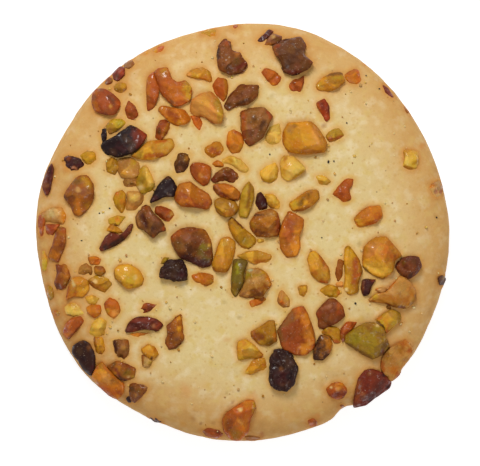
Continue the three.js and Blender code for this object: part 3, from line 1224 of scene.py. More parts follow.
    def _gap(self, place: Vector) -> float:
        """Return how far a place on the dough is from the nearest topping, and 0 inside one."""
        above = self.toppings.ray_cast(place, UP)[1]
        if above is not None and above.z > 0:
            return 0.0
        nearest, _, _, gap = self.toppings.find_nearest(place, self.far)
        return self.far if nearest is None else gap

    def _relief(self, vert: bmesh.types.BMVert, gap: float) -> Vector:
        """Return how far a point of the dough moves: unevenness, crumb, and lips at the toppings."""
        place = vert.co
        if place.z < FLAT:
            return Vector()
        rise = sum(depth * noise.noise(place / size) for depth, size in self.swells)
        if place.z > self.form.waist and gap > 0:
            uneven = 0.55 + 0.6 * noise.noise(place / self.lip_waver)
            rise += self.lip * uneven * math.exp(-((gap / self.lip_reach) ** 2))
            rise -= self.dip * math.exp(-((gap / self.dip_reach) ** 2))
        return vert.normal * rise


@dataclass
class Crumbs:
    """Loose crumbs and dark specks on the dough, far smaller than the toppings."""

    form: BiscuitForm
    materials: dict[str, bpy.types.Material]
    specks: Sequence[tuple[float, float, float]]
    count: int = 260
    reach: float = 33.5 * MM
    sizes: tuple[float, float] = (0.12, 0.3)
    tints: tuple[Tint, ...] = (Tint.CREAM, Tint.CREAM, Tint.BUTTER, Tint.TAN, Tint.OCHRE)
    seed: int = 77

    def build(self) -> list[bpy.types.Object]:
        """Make the crumbs and the specks and return the objects."""
        lots = random.Random(self.seed)
        pale = []
        for _ in range(self.count):
            distance = self.reach * math.sqrt(lots.random())
            middle = heading_vector(360 * lots.random()) * distance
            size = blend(*self.sizes, lots.random() ** 2) * MM
            tint = lots.choice(self.tints)
            pale.append((middle.x, middle.y, size, tint))
        dark = [(x * MM, y * MM, size * MM, Tint.COAL) for x, y, size in self.specks]
        return [
            self._joined("crumbs", "cashew_straw", pale, lots),
            self._joined("specks", "raisin_black", dark, lots),
        ]

    def _joined(
        self, name: str, finish: str, grains: list[tuple], lots: random.Random
    ) -> bpy.types.Object:
        """Return one piece that holds all the grains of a kind."""
        mesh = bmesh.new()
        skin = Skin(mesh)
        for x, y, size, tint in grains:
            up = self.form.normal(x, y)
            middle = Vector((x, y, self.form.height(x, y))) + up * size * 0.3
            scale = [size * blend(0.7, 1.25, lots.random()) for _ in range(3)]
            turn = Matrix.Rotation(lots.random() * math.tau, 4, "Z")
            place = Matrix.Translation(middle) @ turn @ Matrix.Diagonal((*scale, 1))
            made = bmesh.ops.create_icosphere(mesh, subdivisions=1, radius=1, matrix=place)
            for vert in made["verts"]:
                vert.co += (vert.co - middle) * 0.35 * noise.noise(vert.co / (0.2 * MM))
                vert[skin.tint] = (*tint.linear, 1)
                vert[skin.lie] = vert.co
        piece = finished_object(mesh, name, self.materials[finish])
        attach(piece, BODY)
        LOG.info("%s: %d", name, len(grains))
        return piece


# ---- Studio ------------------------------------------------------------------------------------


@dataclass
class Studio:
    """A white table, soft light from all round, one softbox and a camera straight above."""

    frame_width: float = 80.94 * MM
    rim_level: float = 4 * MM
    aim: tuple[float, float] = (-0.49 * MM, 0.08 * MM)
    distance: float = 0.8
    ambience: float = 0.31

    def build(self) -> None:
        """Set up the floor, the lights and the camera."""
        self._floor()
        self._surroundings()
        self._softbox("key", heading=105, climb=52, distance=0.5, width=0.16, watts=1.55)
        self._softbox("fill", heading=-60, climb=60, distance=0.6, width=0.35, watts=0.9)
        self._camera()
        bpy.context.scene.view_settings.view_transform = "Standard"

    @staticmethod
    def _floor() -> None:
        """Lay the table under the biscuit."""
        mesh = bmesh.new()
        below = Matrix.Translation((0, 0, -FLAT))
        bmesh.ops.create_grid(mesh, x_segments=1, y_segments=1, size=1.5, matrix=below)
        finished_object(mesh, "floor", FloorFinish().material())

    def _surroundings(self) -> None:
        """Light the scene evenly from all round."""
        world = bpy.data.worlds.new("surroundings")
        world.use_nodes = True
        backdrop = world.node_tree.nodes["Background"]
        backdrop.inputs["Color"].default_value = (1, 1, 1, 1)
        backdrop.inputs["Strength"].default_value = self.ambience
        bpy.context.scene.world = world

    @staticmethod
    def _softbox(
        name: str, heading: float, climb: float, distance: float, width: float, watts: float
    ) -> None:
        """Hang a square light that faces the biscuit.

        Args:
            name: the light's name.
            heading: the direction that it hangs in, in degrees from +X.
            climb: its height over the horizon, in degrees.
            distance: how far it is from the biscuit, in metres.
            width: its side, in metres.
            watts: its power.
        """
        data = bpy.data.lights.new(name, "AREA")
        data.size = width
        data.energy = watts
        lamp = bpy.data.objects.new(name, data)
        level = heading_vector(heading) * math.cos(math.radians(climb))
        lamp.location = (level + UP * math.sin(math.radians(climb))) * distance
        lamp.rotation_euler = lamp.location.to_track_quat("Z", "Y").to_euler()
        bpy.context.scene.collection.objects.link(lamp)

    def _camera(self) -> None:
        """Look straight down, with the rim's level as wide as the frame asks."""
        data = bpy.data.cameras.new("camera")
        data.lens = data.sensor_width * self.distance / self.frame_width
        camera = bpy.data.objects.new("camera", data)
        camera.location = (*self.aim, self.rim_level + self.distance)
        bpy.context.scene.collection.objects.link(camera)
        bpy.context.scene.camera = camera


# ---- Tables ------------------------------------------------------------------------------------

LARGE: dict[str, Chip] = {
    "almond_01": Chip(Tint.RUST, (8.3, -12.6, 10.1, -12.1, 10.9, -13.5, 11.6, -15.4, 12.1, -17.3,
        12, -19.1, 10.4, -20.4, 8.6, -20.3, 6.6, -19.2, 6.1, -17.7, 5.7, -16.3, 6.9, -14.5),
        (spot(Tint.FLAME, 9, -12.8, 0.8), streak(Tint.MOCHA, 8, -13.6, 7, -15.2, 0.7),
        streak(Tint.TEAK, 6, -15.8, 6.4, -17.6), streak(Tint.AMBER, 10.5, -14, 11.3, -16.6, 1.1),
        streak(Tint.ORANGE, 11.2, -17.4, 10.2, -19.6, 0.8), spot(Tint.CHESTNUT, 7.6, -17, 1.1, 0.7),
        spot(Tint.APRICOT, 11.2, -18.2, 0.4))),
    "almond_02": Chip(Tint.HONEY, (20.2, -2.3, 21.2, -1.2, 22.5, -0.5, 23.9, -0.5, 25.3, -2, 26.6, -3.7,
        25.5, -4.6, 25.1, -6.4, 23.4, -7.7, 21.5, -6.9, 20, -5.7, 20, -3.9),
        (spot(Tint.COPPER, 24, -3, 1.1), spot(Tint.RUSSET, 25.4, -4, 0.6),
        spot(Tint.APRICOT, 21.9, -2.8, 1.2), streak(Tint.STRAW, 20.9, -5.7, 24.4, -6.4, 0.9),
        streak(Tint.BRONZE, 22, -7.2, 23.8, -7.6, 0.35), streak(Tint.TEAK, 20, -5.6, 21.4, -7, 0.25))),
    "almond_03": Chip(Tint.OXBLOOD, (20.3, -23, 21.5, -22.7, 23.6, -23.4, 25, -25, 24.6, -26.1,
        22.6, -27.4, 20.7, -28.9, 18.6, -29.3, 18.6, -28, 19, -25.6, 19.3, -24.3),
        # Painted highlight: the mauve spot at 21.2, -23.5 is a glint of the light.
        (spot(Tint.PLUM, 21.8, -23.5, 0.7), spot(Tint.MAUVE, 21.2, -23.5, 0.3),
        streak(Tint.CHESTNUT, 19.4, -25, 19.3, -28), spot(Tint.BRICK, 19.6, -28.1, 0.4, 0.6),
        streak(Tint.MAROON, 23.2, -25.3, 22, -27, 0.9), spot(Tint.WINE, 21.4, -27.9, 0.4),
        spot(Tint.ROSE_GLINT, 20.2, -27, 0.4, 0.6), spot(Tint.WINE, 24.4, -25.8, 0.4),
        spot(Tint.WINE, 23.8, -23.7, 0.35))),
    "almond_04": Chip(Tint.RUSSET, (-0.7, -28.6, 0.6, -27.9, 1.9, -28, 2.2, -29.2, 1.4, -30.9,
        0.9, -33.3, -0.5, -34.8, -1.9, -34.7, -3.2, -33.2, -3.5, -31.3, -2.7, -30, -1.5, -29.1),
        (spot(Tint.AMBER, 0.9, -28.4, 0.7), streak(Tint.OCHRE, 2, -28.4, 1.7, -30, 0.3),
        streak(Tint.CARAMEL, -3, -30.8, -3.1, -32.6, 0.4),
        streak(Tint.CHESTNUT, -2.3, -32, -1.9, -33.2, 0.7), streak(Tint.AMBER, 0.7, -30.4, 0.4, -32.4),
        # Painted highlights: the apricot spot at -0.4, -31.4 and the sand spot at -0.4, -29.5 are
        # glints of the light.
        spot(Tint.BRONZE, -1.2, -33.6, 0.8), spot(Tint.APRICOT, -0.4, -31.4, 0.5, 0.6),
        spot(Tint.SAND, -0.4, -29.5, 0.3))),
    "almond_05": Chip(Tint.HAZEL, (26, -18.4, 27.4, -17.8, 28.2, -18.9, 28.7, -19.5, 28, -21,
        26.9, -22.4, 26.3, -23.8, 25, -24.9, 23.8, -23.8, 23.1, -22.6, 23.2, -21, 24.3, -19.4),
        (spot(Tint.SIENNA, 27, -18.4, 0.6), spot(Tint.TOFFEE, 26.4, -19.4, 0.7),
        spot(Tint.RUST, 27.9, -19.7), spot(Tint.OCHRE, 24.3, -20.7, 0.6), spot(Tint.HAZEL, 24.3, -22),
        spot(Tint.AMBER, 25.5, -22.6, 0.8), spot(Tint.SIENNA, 26, -23.8, 0.4),
        streak(Tint.SIENNA, 23.3, -21.5, 23.6, -23, 0.35), spot(Tint.FAWN, 27.4, -21.1),
        spot(Tint.DATE, 24.2, -24.1, 0.3))),
    "almond_06": Chip(Tint.TOFFEE, (-27.6, 9.6, -26.1, 9.7, -25, 8.3, -24.9, 6.1, -25.8, 4.1,
        -27.2, 2.9, -28.3, 3.1, -28.9, 4.6, -30.1, 6.2, -29.3, 7.6, -28.3, 8.9),
        (streak(Tint.TEAK, -28.4, 8.7, -26.6, 9, 0.6), streak(Tint.OCHRE, -26.6, 9, -25.6, 8, 0.6),
        # Painted sheen: the mauve streak and the tan spot near y 7 stand for a greyish band of
        # reflected light.
        streak(Tint.MAUVE, -28.9, 7.4, -26.4, 7, 0.7), spot(Tint.TAN, -27.6, 7.3, 0.4),
        spot(Tint.TOFFEE, -25.6, 6.5, 0.6), streak(Tint.BARK, -29.8, 6.2, -28.6, 5.8, 0.45),
        streak(Tint.CHESTNUT, -28.7, 5.7, -28.6, 4, 0.45),
        streak(Tint.AMBER, -27.6, 5.2, -27.4, 3.8, 0.6), spot(Tint.OCHRE, -26.1, 4.9, 0.6))),
    "almond_07": Chip(Tint.AMBER, (-11.3, 7.2, -10.6, 8.3, -8.9, 8.7, -7.2, 7.5, -5.7, 6.6, -5.1, 5.2,
        -5.9, 4, -8, 4.3, -10.4, 4.5, -11.5, 5.7), (spot(Tint.ORANGE, -8.6, 7.2, 0.9),
        spot(Tint.SIENNA, -10.9, 6, 0.6), streak(Tint.RUST, -9.3, 4.8, -6.5, 4.5),
        streak(Tint.SIENNA, -10.6, 6.9, -8.6, 5.6, 0.25), spot(Tint.SIENNA, -6.1, 5))),
    "almond_08": Chip(Tint.COPPER, (-14.9, 26.9, -14.2, 27.7, -12.6, 27.8, -12, 26.1, -11.1, 25.3,
        -9.6, 25.6, -8.6, 24.3, -8.7, 22.4, -10.2, 21.4, -11.7, 21.3, -13.6, 23.2, -14.4, 25.2),
        (streak(Tint.MUSTARD, -9.3, 25, -9.2, 22.9, 0.7), spot(Tint.HONEY, -13.3, 27.1, 0.6),
        streak(Tint.RUST, -14.6, 26.2, -12.6, 22.6, 0.6), spot(Tint.DATE, -11.9, 21.8),
        streak(Tint.RUST, -11, 21.8, -9.8, 22, 0.4))),
    "almond_09": Chip(Tint.ORANGE, (7.6, 3.7, 8.6, 3.4, 10.2, 2.4, 10.1, 1.2, 9.5, -0.6, 9.6, -2.4,
        8.9, -3.8, 7.3, -4, 6.3, -2.6, 6, -0.4, 6.5, 1.7),
        (streak(Tint.TERRACOTTA, 7.8, 1.8, 7.6, -0.6, 0.9), spot(Tint.ROSE_GLINT, 8.2, 1.4, 0.5, 0.6),
        spot(Tint.RUST, 8.1, 0.1), spot(Tint.AMBER, 9.6, 2), spot(Tint.CARAMEL, 7.4, 3, 0.4),
        spot(Tint.AMBER, 8, -3, 0.8, 0.6))),
    "almond_10": Chip(Tint.AMBER, (-24.4, -22, -23.6, -21.5, -22.6, -22.7, -21.3, -24, -19.9, -25.3,
        -20, -26.8, -21.1, -27.9, -22.6, -27.2, -24.1, -25.8, -25.4, -24.1, -24.9, -22.9),
        (spot(Tint.OCHRE, -23.8, -22), streak(Tint.GOLD, -23.9, -22.6, -23.2, -23.6),
        # Painted highlight: the apricot streak from -23.3, -24 is a glint of the light.
        streak(Tint.APRICOT, -23.3, -24, -22.4, -24.6, 0.6),
        streak(Tint.SIENNA, -23.5, -26, -21.8, -26.8, 0.7),
        streak(Tint.CARAMEL, -21.7, -24.5, -20.9, -25, 0.4), spot(Tint.RUST, -20.7, -26.6),
        spot(Tint.ORANGE, -21.1, -25.6, 0.4))),
    "almond_11": Chip(Tint.RUST, (-25.3, 23.5, -24.8, 24.2, -23.4, 24.4, -21.9, 23.5, -20.7, 22.4,
        -20.5, 21.6, -21.3, 19.9, -23, 19.8, -24.8, 20.5, -25.4, 22), (spot(Tint.CARAMEL, -24.8, 23.8),
        spot(Tint.MAUVE, -23.8, 24.1, 0.4), streak(Tint.DATE, -22.3, 23, -21.6, 21.8, 0.45),
        streak(Tint.MAUVE, -25, 23.2, -25, 22.2, 0.35), streak(Tint.AMBER, -25, 21.8, -24.6, 20.7),
        # Painted highlight: the hazel spot at -22.2, 21.3 is a glint of the light.
        spot(Tint.HAZEL, -22.2, 21.3, 0.35), spot(Tint.FLAME, -20.8, 21.7, 0.4),
        streak(Tint.CHESTNUT, -23.1, 20.3, -21.5, 20.2))),
    "almond_12": Chip(Tint.OCHRE, (17, -2.6, 17.6, -2, 18.4, -2.8, 19.5, -4.4, 20, -6.2, 19.4, -8.2,
        19.3, -9.8, 17.7, -10.3, 16.8, -9.2, 17, -7.4, 16.9, -4.6), (spot(Tint.GOLD, 17.6, -3.6, 0.9),
        streak(Tint.STRAW, 17.4, -7.3, 17.3, -8.6, 0.45), streak(Tint.RUST, 18.8, -4.6, 18.6, -8, 0.55),
        spot(Tint.COPPER, 19.4, -7, 0.4), spot(Tint.CARAMEL, 18.8, -9.1),
        spot(Tint.CREAM, 17.2, -9.4, 0.3), streak(Tint.OCHRE, 17.1, -10.1, 17.8, -10.3, 0.25))),
    "almond_13": Chip(Tint.CHESTNUT, (12.2, -13.2, 13.3, -11.8, 14.5, -10.8, 15.6, -11, 16.7, -12.2,
        17.1, -13.8, 15.8, -14.9, 13.5, -16, 12.6, -15.7, 12.5, -14.2),
        (spot(Tint.TERRACOTTA, 16.1, -12.2, 0.6), spot(Tint.BRICK, 16.3, -13.3, 0.5, 0.6),
        streak(Tint.DATE, 16.7, -13.9, 13.2, -15.8), spot(Tint.RUST, 12.7, -13.5),
        spot(Tint.TOFFEE, 14.6, -11, 0.4), streak(Tint.ROSE_GLINT, 13.3, -12.5, 14.5, -12.2, 0.3),
        spot(Tint.MAUVE, 13.9, -14.3, 0.7))),
    "almond_14": Chip(Tint.MAROON, (-19.7, -16.2, -19.1, -14.9, -17.9, -14, -16, -13.9, -14.4, -14.3,
        -13.3, -15.3, -14.3, -16.4, -16.4, -16, -18.3, -16.5, -19.5, -16.6),
        (streak(Tint.OXBLOOD, -18.6, -14.6, -15, -14.4, 0.35), spot(Tint.BRICK, -14.2, -15.4, 0.6, 0.6),
        spot(Tint.ROSE_GLINT, -14.9, -15.4, 0.3, 0.6), spot(Tint.PLUM, -19, -15.9),
        spot(Tint.RUST, -18, -16.3, 0.4))),
    "almond_15": Chip(Tint.GOLD, (10.7, -4.4, 11.2, -3.1, 12.1, -2.9, 13.1, -3.9, 14.4, -5.8,
        14.6, -7.3, 14.1, -8.4, 12.5, -8, 11.3, -6.7, 11, -5.2),
        (streak(Tint.AMBER, 12.7, -3.7, 13.9, -5.4, 0.3), spot(Tint.APRICOT, 13.6, -5.8, 0.4),
        spot(Tint.AMBER, 12.1, -6.6, 0.6), streak(Tint.FLAME, 13.1, -8, 14.1, -8.2, 0.4))),
    "almond_16": Chip(Tint.ORANGE, (18.5, 2.4, 19.6, 3.7, 21, 4.5, 23, 4.6, 23.4, 2.9, 22.2, 1.7,
        20.8, 1.3, 19.3, 1.1), (streak(Tint.HONEY, 19, 2.6, 19.6, 1.4),
        streak(Tint.SIENNA, 20.8, 1.6, 22.2, 1.8, 0.4), spot(Tint.ORANGE, 21.4, 4, 0.7),
        spot(Tint.RUSSET, 22.6, 2.8))),
    "almond_17": Chip(Tint.ORANGE, (-14.2, 20.6, -13.6, 21.4, -11.4, 21, -9.8, 20.7, -8.7, 19.2,
        -9.4, 18.3, -11, 18, -12.3, 18.6, -13.2, 19.5), (streak(Tint.RUST, -12.2, 20.3, -11.2, 19, 0.7),
        spot(Tint.ORANGE, -13.4, 20.6, 0.6), spot(Tint.AMBER, -9.6, 19.6, 0.6),
        spot(Tint.HONEY, -10.6, 18.4, 0.4))),
    "almond_18": Chip(Tint.PLUM, (-19, 1.4, -18.3, 1.6, -18.6, 0.5, -19.7, -1, -21.4, -2.1, -23.6, -3,
        -24, -2.4, -23, -0.5, -22, 0.2, -20.4, -0.2), (streak(Tint.PRUNE, -20.2, -1, -23, -2.5),
        spot(Tint.CHESTNUT, -18.7, 1))),
    "almond_19": Chip(Tint.RUSSET, (-8.9, 11.2, -8.2, 11.8, -6.6, 11.8, -5.3, 11.1, -5.3, 9.5,
        -5.8, 8.3, -6.6, 7.9, -8.1, 9, -8.8, 10.2), (streak(Tint.RUST, -8.3, 11.3, -7.9, 9.5),
        # Painted highlight: the apricot spot at -7, 9.7 is a glint of the light.
        spot(Tint.RUST, -6.2, 8.4), spot(Tint.APRICOT, -7, 9.7, 0.4, 0.6))),
    "almond_20": Chip(Tint.TOFFEE, (-31, 1, -29.7, 0.9, -29.6, -0.6, -29.9, -2.4, -30.5, -3.7,
        -31, -4.9, -32.7, -4, -32.2, -2.4, -31.6, -0.6), (streak(Tint.CHESTNUT, -31.3, 0, -32, -2, 0.4),
        spot(Tint.TEAK, -30.6, 0.9, 0.35), spot(Tint.BRICK, -30.2, 0.5, 0.5, 0.6),
        streak(Tint.CHESTNUT, -30.4, -0.8, -30.3, -2.2, 0.4), spot(Tint.AMBER, -31.6, -3.8, 0.8),
        spot(Tint.RUST, -30.9, -4.6, 0.35))),
    "almond_21": Chip(Tint.HONEY, (-29.7, -11.2, -29.3, -9, -28.6, -7.5, -27.2, -7.2, -25.9, -7.9,
        -25.7, -9.4, -26.8, -10.7, -28.3, -10.6), (spot(Tint.ORANGE, -27.9, -8, 0.7, 0.6),
        # Painted highlights: the apricot spot at -28.5, -9.3 and the sand streak below it are glints of
        # the light.
        streak(Tint.RUSSET, -29.3, -9.3, -29.4, -10.6, 0.6), spot(Tint.APRICOT, -28.5, -9.3, 0.35),
        spot(Tint.RUSSET, -28, -10), spot(Tint.GOLD, -26.5, -9.6, 0.6),
        streak(Tint.SAND, -28.6, -7.8, -28.3, -8.7, 0.22))),
    "almond_22": Chip(Tint.PLUM, (-32.1, 11.8, -31.8, 10.9, -32, 9, -32.4, 7.2, -33, 6.3, -33.8, 7.8,
        -33.3, 9.6, -32.7, 11.1), (streak(Tint.WINE, -32.3, 11, -32.7, 7.5, 0.4),
        spot(Tint.MAUVE, -33.4, 8.2, 0.6))),
    "almond_23": Chip(Tint.ORANGE, (-4.9, 8.2, -3, 8.4, -1.6, 7.9, -0.4, 6.8, -0.8, 5.5, -3, 5.8,
        -4.3, 6.5, -5, 7.4), (streak(Tint.DATE, -4.9, 7.8, -4.1, 6.6, 0.35),
        streak(Tint.ROSE_GLINT, -4.4, 8, -3.8, 6.8, 0.22), streak(Tint.OXBLOOD, -3.8, 6.6, -2.4, 6, 0.3),
        streak(Tint.DATE, -3.2, 5.8, -1.2, 5.5, 0.25))),
    "almond_24": Chip(Tint.SIENNA, (-16.1, 25.9, -15, 27.1, -14.6, 26.1, -14, 24.5, -14.1, 22.9,
        -14.9, 21, -16, 20.5, -16.2, 23.6), (streak(Tint.CARAMEL, -15.9, 26, -16, 22.4, 0.35),
        spot(Tint.AMBER, -15.3, 21.4, 0.6, 0.5), spot(Tint.RUST, -14.6, 24.2))),
    "cashew_01": Chip(Tint.HONEY, (6.6, 16.9, 7.5, 18.5, 9, 18.6, 11.3, 18.8, 12.6, 17.6, 14.1, 15.2,
        13.7, 13.6, 12.2, 13.3, 10, 13.2, 7.5, 13.6, 6.6, 15.2),
        (streak(Tint.CARAMEL, 7.2, 14, 13, 13.6, 0.35), streak(Tint.CARAMEL, 6.7, 15, 6.8, 16.8, 0.3),
        streak(Tint.APRICOT, 12.2, 16.8, 12.4, 15.2, 0.7), spot(Tint.AMBER, 9, 15, 0.8),
        spot(Tint.HAZEL, 7.8, 17.4, 0.6), spot(Tint.BRONZE, 8.7, 18, 0.35))),
    "cashew_02": Chip(Tint.HAZEL, (25.4, -8, 26.3, -7, 27.5, -7.6, 28.9, -9.3, 29, -11.2, 27.6, -12.5,
        25.8, -12.5, 24, -11.8, 20.9, -11.3, 22, -10.1, 23.9, -9.8, 24.4, -9.1),
        (spot(Tint.APRICOT, 26.4, -7.7, 0.6, 0.6), spot(Tint.TAN, 25.1, -9.6, 0.9),
        streak(Tint.CARAMEL, 23, -11, 27.5, -11.2, 0.8), streak(Tint.CARAMEL, 27.8, -9.2, 28.6, -10.5),
        streak(Tint.DATE, 24, -12, 27, -12.5, 0.32), streak(Tint.BRONZE, 28.9, -10.5, 28.3, -11.9, 0.3),
        spot(Tint.TOFFEE, 21.9, -11.4), spot(Tint.MUSTARD, 22.2, -10.5),
        # Painted highlight: the apricot spot at 27.6, -9.3 is a glint of the light.
        spot(Tint.APRICOT, 27.6, -9.3, 0.3, 0.6), streak(Tint.AMBER, 24.3, -9.1, 25.2, -8.2, 0.3))),
    "cashew_03": Chip(Tint.APRICOT, (-8.9, 20.4, -8.6, 22.3, -7.3, 23.3, -5.3, 23.8, -3.9, 22.3,
        -3.2, 20.2, -3.5, 18.4, -5.2, 18.4, -6.4, 19.4, -8, 19.6),
        (streak(Tint.SIENNA, -7.2, 19.4, -5.2, 18.5, 0.25), streak(Tint.MUSTARD, -4.2, 22, -3.7, 19),
        spot(Tint.GOLD, -6.4, 22.2, 1, 0.6))),
    "cashew_04": Chip(Tint.GOLD, (-18.9, 13, -17.1, 14.2, -16, 15.4, -14, 15.7, -11.9, 15.9,
        -11.4, 14.5, -12.8, 13, -15.2, 12.3, -17.4, 12.4),
        (streak(Tint.SIENNA, -16.3, 12.9, -13.4, 13.1, 0.45),
        streak(Tint.FLAME, -14.6, 15.3, -12.9, 15.5, 0.3), spot(Tint.BUTTER, -12.2, 14.9, 0.6),
        spot(Tint.BUTTER, -13.7, 14.5), spot(Tint.MUSTARD, -17.1, 13.4, 0.6),
        spot(Tint.OCHRE, -15.4, 14.3, 0.4))),
    "cashew_05": Chip(Tint.HONEY, (-3.7, -0.9, -2.4, -0.5, -1.3, -1.4, -1.3, -3, -1.9, -5, -2.7, -6.5,
        -4.6, -6.4, -5.2, -5.4, -4.7, -3.5, -4.1, -1.7),
        (streak(Tint.CARAMEL, -4.1, -1.8, -4.7, -3.3, 0.25), spot(Tint.BUTTER, -3, -1.6),
        spot(Tint.APRICOT, -3.6, -4.3), streak(Tint.CARAMEL, -5, -6, -2.8, -6.1, 0.4))),
    "cashew_06": Chip(Tint.BUTTER, (6.2, 11.8, 6.8, 13, 8.5, 12.9, 9.8, 11.7, 10.5, 10.6, 9.2, 9.5,
        7.6, 8.7, 6.4, 9.4), (streak(Tint.GOLD, 7, 11.6, 6.7, 10, 0.6),
        spot(Tint.CARAMEL, 7, 12.6, 0.45), streak(Tint.OCHRE, 8.4, 9.2, 10.2, 10.4, 0.2))),
    "cashew_07": Chip(Tint.GOLD, (-20.7, -5.3, -19, -5.1, -17.4, -6.1, -16.5, -7.6, -17, -8.8,
        -19.3, -9.3, -20.5, -8.3, -21.5, -7.5, -21.5, -6),
        (streak(Tint.HONEY, -16.9, -7, -16.9, -8.2, 0.4), spot(Tint.MUSTARD, -19, -7.7, 0.8),
        streak(Tint.OCHRE, -20.3, -8.5, -17.3, -8.9, 0.4), spot(Tint.CHESTNUT, -18.6, -8.7, 0.25),
        # Painted highlight: the sand spot at -17.9, -7.3 is a glint of the light.
        spot(Tint.SAND, -17.9, -7.3, 0.3, 0.6))),
    "cashew_08": Chip(Tint.GOLD, (-0.9, -18.1, 0.5, -17.6, 1.9, -18.6, 3.5, -20.4, 2.7, -20.9,
        1.2, -20.9, -0.8, -21.2, -1, -19.6), (spot(Tint.ORANGE, 0.3, -18.3, 0.5, 0.6),
        spot(Tint.HONEY, -0.7, -19.6), spot(Tint.AMBER, 3, -20.6), spot(Tint.BUTTER, 1.4, -19.1),
        streak(Tint.MUSTARD, -0.6, -21, 1, -20.9, 0.35))),
    "cashew_09": Chip(Tint.MUSTARD, (22.1, -14.5, 23.4, -13.4, 24.9, -12.7, 26.4, -13.3, 26.4, -14.7,
        25, -16, 23.9, -16.9, 23.6, -15.4), (spot(Tint.TAN, 24.6, -13.4, 0.6, 0.5),
        streak(Tint.OLIVE, 26.2, -13.6, 26.2, -14.8, 0.35), spot(Tint.HONEY, 24, -14.5, 0.6),
        spot(Tint.AMBER, 24.3, -15.3), spot(Tint.SIENNA, 24.1, -16.4, 0.4),
        spot(Tint.ORANGE, 22.8, -14.2, 0.4))),
    "cashew_10": Chip(Tint.MUSTARD, (-17.4, 10.6, -16.2, 11.4, -15.2, 9.7, -14.7, 8.1, -15.3, 7.1,
        -17, 6.6, -18, 8.4), (streak(Tint.BUTTER, -16.1, 10.6, -15.2, 8.4, 0.7),
        spot(Tint.OLIVE, -17.1, 8.9, 0.7), spot(Tint.OLIVE, -15.9, 7.2),
        # Painted highlight: the cream spot at -17.1, 7.7 is a glint of the light.
        spot(Tint.CREAM, -17.1, 7.7, 0.4))),
    "pistachio_01": Chip(Tint.WALNUT, (-12.1, -0.6, -10.6, 0.7, -8.8, 1.1, -6.4, 0.7, -5.3, -1.2,
        -5, -3.6, -5.4, -5.4, -6.8, -5.8, -8.7, -4.9, -10.6, -4, -11.7, -2.2),
        (streak(Tint.RUSSET, -11.9, -0.8, -10.7, 0.3, 0.6), streak(Tint.CHESTNUT, -10, 0.4, -7, 0.8),
        streak(Tint.MAUVE, -9.8, -0.8, -7.4, -0.8, 0.6), spot(Tint.TEAK, -10.6, -1.8, 0.8),
        spot(Tint.BARK, -8.7, -2.6, 0.9), streak(Tint.CARAMEL, -6.6, 0.2, -5.6, -1.2, 0.6),
        spot(Tint.FERN, -6.3, -2.3, 0.7), spot(Tint.STRAW, -5.6, -2, 0.3),
        streak(Tint.MOSS, -7, -3.2, -6.2, -4.2, 0.7), streak(Tint.WINE, -9.8, -4, -6, -5.4, 0.7))),
    "pistachio_02": Chip(Tint.OLIVE, (22, -14.9, 23.6, -15.8, 24, -17.5, 24.5, -18.7, 23.4, -20.3,
        21.7, -21.1, 19.6, -20, 17.1, -18.3, 17.2, -17, 19, -15.6, 20.4, -14.9),
        (spot(Tint.FERN, 18.7, -17.4, 1, 0.4), spot(Tint.BRONZE, 23, -17, 0.9),
        streak(Tint.TEAK, 24.2, -18, 23, -20.2, 0.4), spot(Tint.BRONZE, 21, -15.6, 0.7),
        # Painted highlight: the sand spot at 22.5, -15.4 is a glint of the light.
        streak(Tint.TEAK, 17.4, -18.5, 21.5, -21, 0.35), spot(Tint.SAND, 22.5, -15.4, 0.3),
        spot(Tint.DATE, 23.4, -19.8, 0.4))),
    "pistachio_03": Chip(Tint.FAWN, (0.5, -6, 2.6, -5.8, 4, -6.6, 4.9, -8.5, 3.8, -9.8, 3.1, -10.8,
        # Painted highlights: the sage spot at 1.2, -6.1 and the apricot spot at 0.9, -10.1 are glints
        # of the light.
        0.7, -10.8, -0.7, -10.4, -0.2, -9, 0.3, -7.6), (spot(Tint.SAGE, 1.2, -6.1, 0.4),
        spot(Tint.FERN, 0.9, -6.8), streak(Tint.OLIVE, 0.4, -7.5, 2.9, -7, 0.35),
        streak(Tint.TAN, 1, -8, 3, -7.5, 0.45), streak(Tint.AMBER, 4.2, -7.2, 4.6, -8.6, 0.45),
        streak(Tint.CHESTNUT, 3.7, -8.9, 1.8, -9.8, 0.6),
        streak(Tint.DATE, 3.1, -10.1, 1.2, -10.8, 0.4), spot(Tint.MOCHA, 0, -10.1, 0.4),
        spot(Tint.OCHRE, 3.5, -6.5), spot(Tint.APRICOT, 0.9, -10.1, 0.3))),
    "pistachio_04": Chip(Tint.HONEY, (7.7, 5, 9.3, 6.2, 10.8, 7.2, 12.5, 7.3, 12.8, 5.9, 11.6, 4.6,
        10, 3.8, 8.3, 3.7), (spot(Tint.MUSTARD, 8.5, 4.8, 0.7),
        streak(Tint.TEAK, 9.5, 5, 10.3, 6.1, 0.45), spot(Tint.BRONZE, 11, 6.4),
        streak(Tint.CARAMEL, 9, 3.8, 11, 4.3, 0.4))),
    "pistachio_05": Chip(Tint.MUSTARD, (0.1, 7.7, 1, 8.7, 1.8, 7.7, 1.9, 6, 1.2, 3.8, 0.7, 2.6,
        -0.6, 2.8, -0.7, 4.6, -0.3, 6.8), (streak(Tint.MUSTARD, -0.3, 5.4, -0.3, 3.3, 0.3),
        # Painted highlights: the butter spot at 0.5, 5.8 and the straw spot at 0.5, 3.4 are glints of
        # the light.
        streak(Tint.BRONZE, 1.3, 8, 0.8, 4.5, 0.35), spot(Tint.BUTTER, 0.5, 5.8, 0.3, 0.7),
        spot(Tint.STRAW, 0.5, 3.4, 0.35))),
    "pistachio_06": Chip(Tint.CARAMEL, (-22.9, -22.4, -21.3, -21.3, -19.6, -21.8, -18, -22.6,
        -18.2, -24.1, -20.1, -24.8, -21.4, -23.8, -22.4, -22.9),
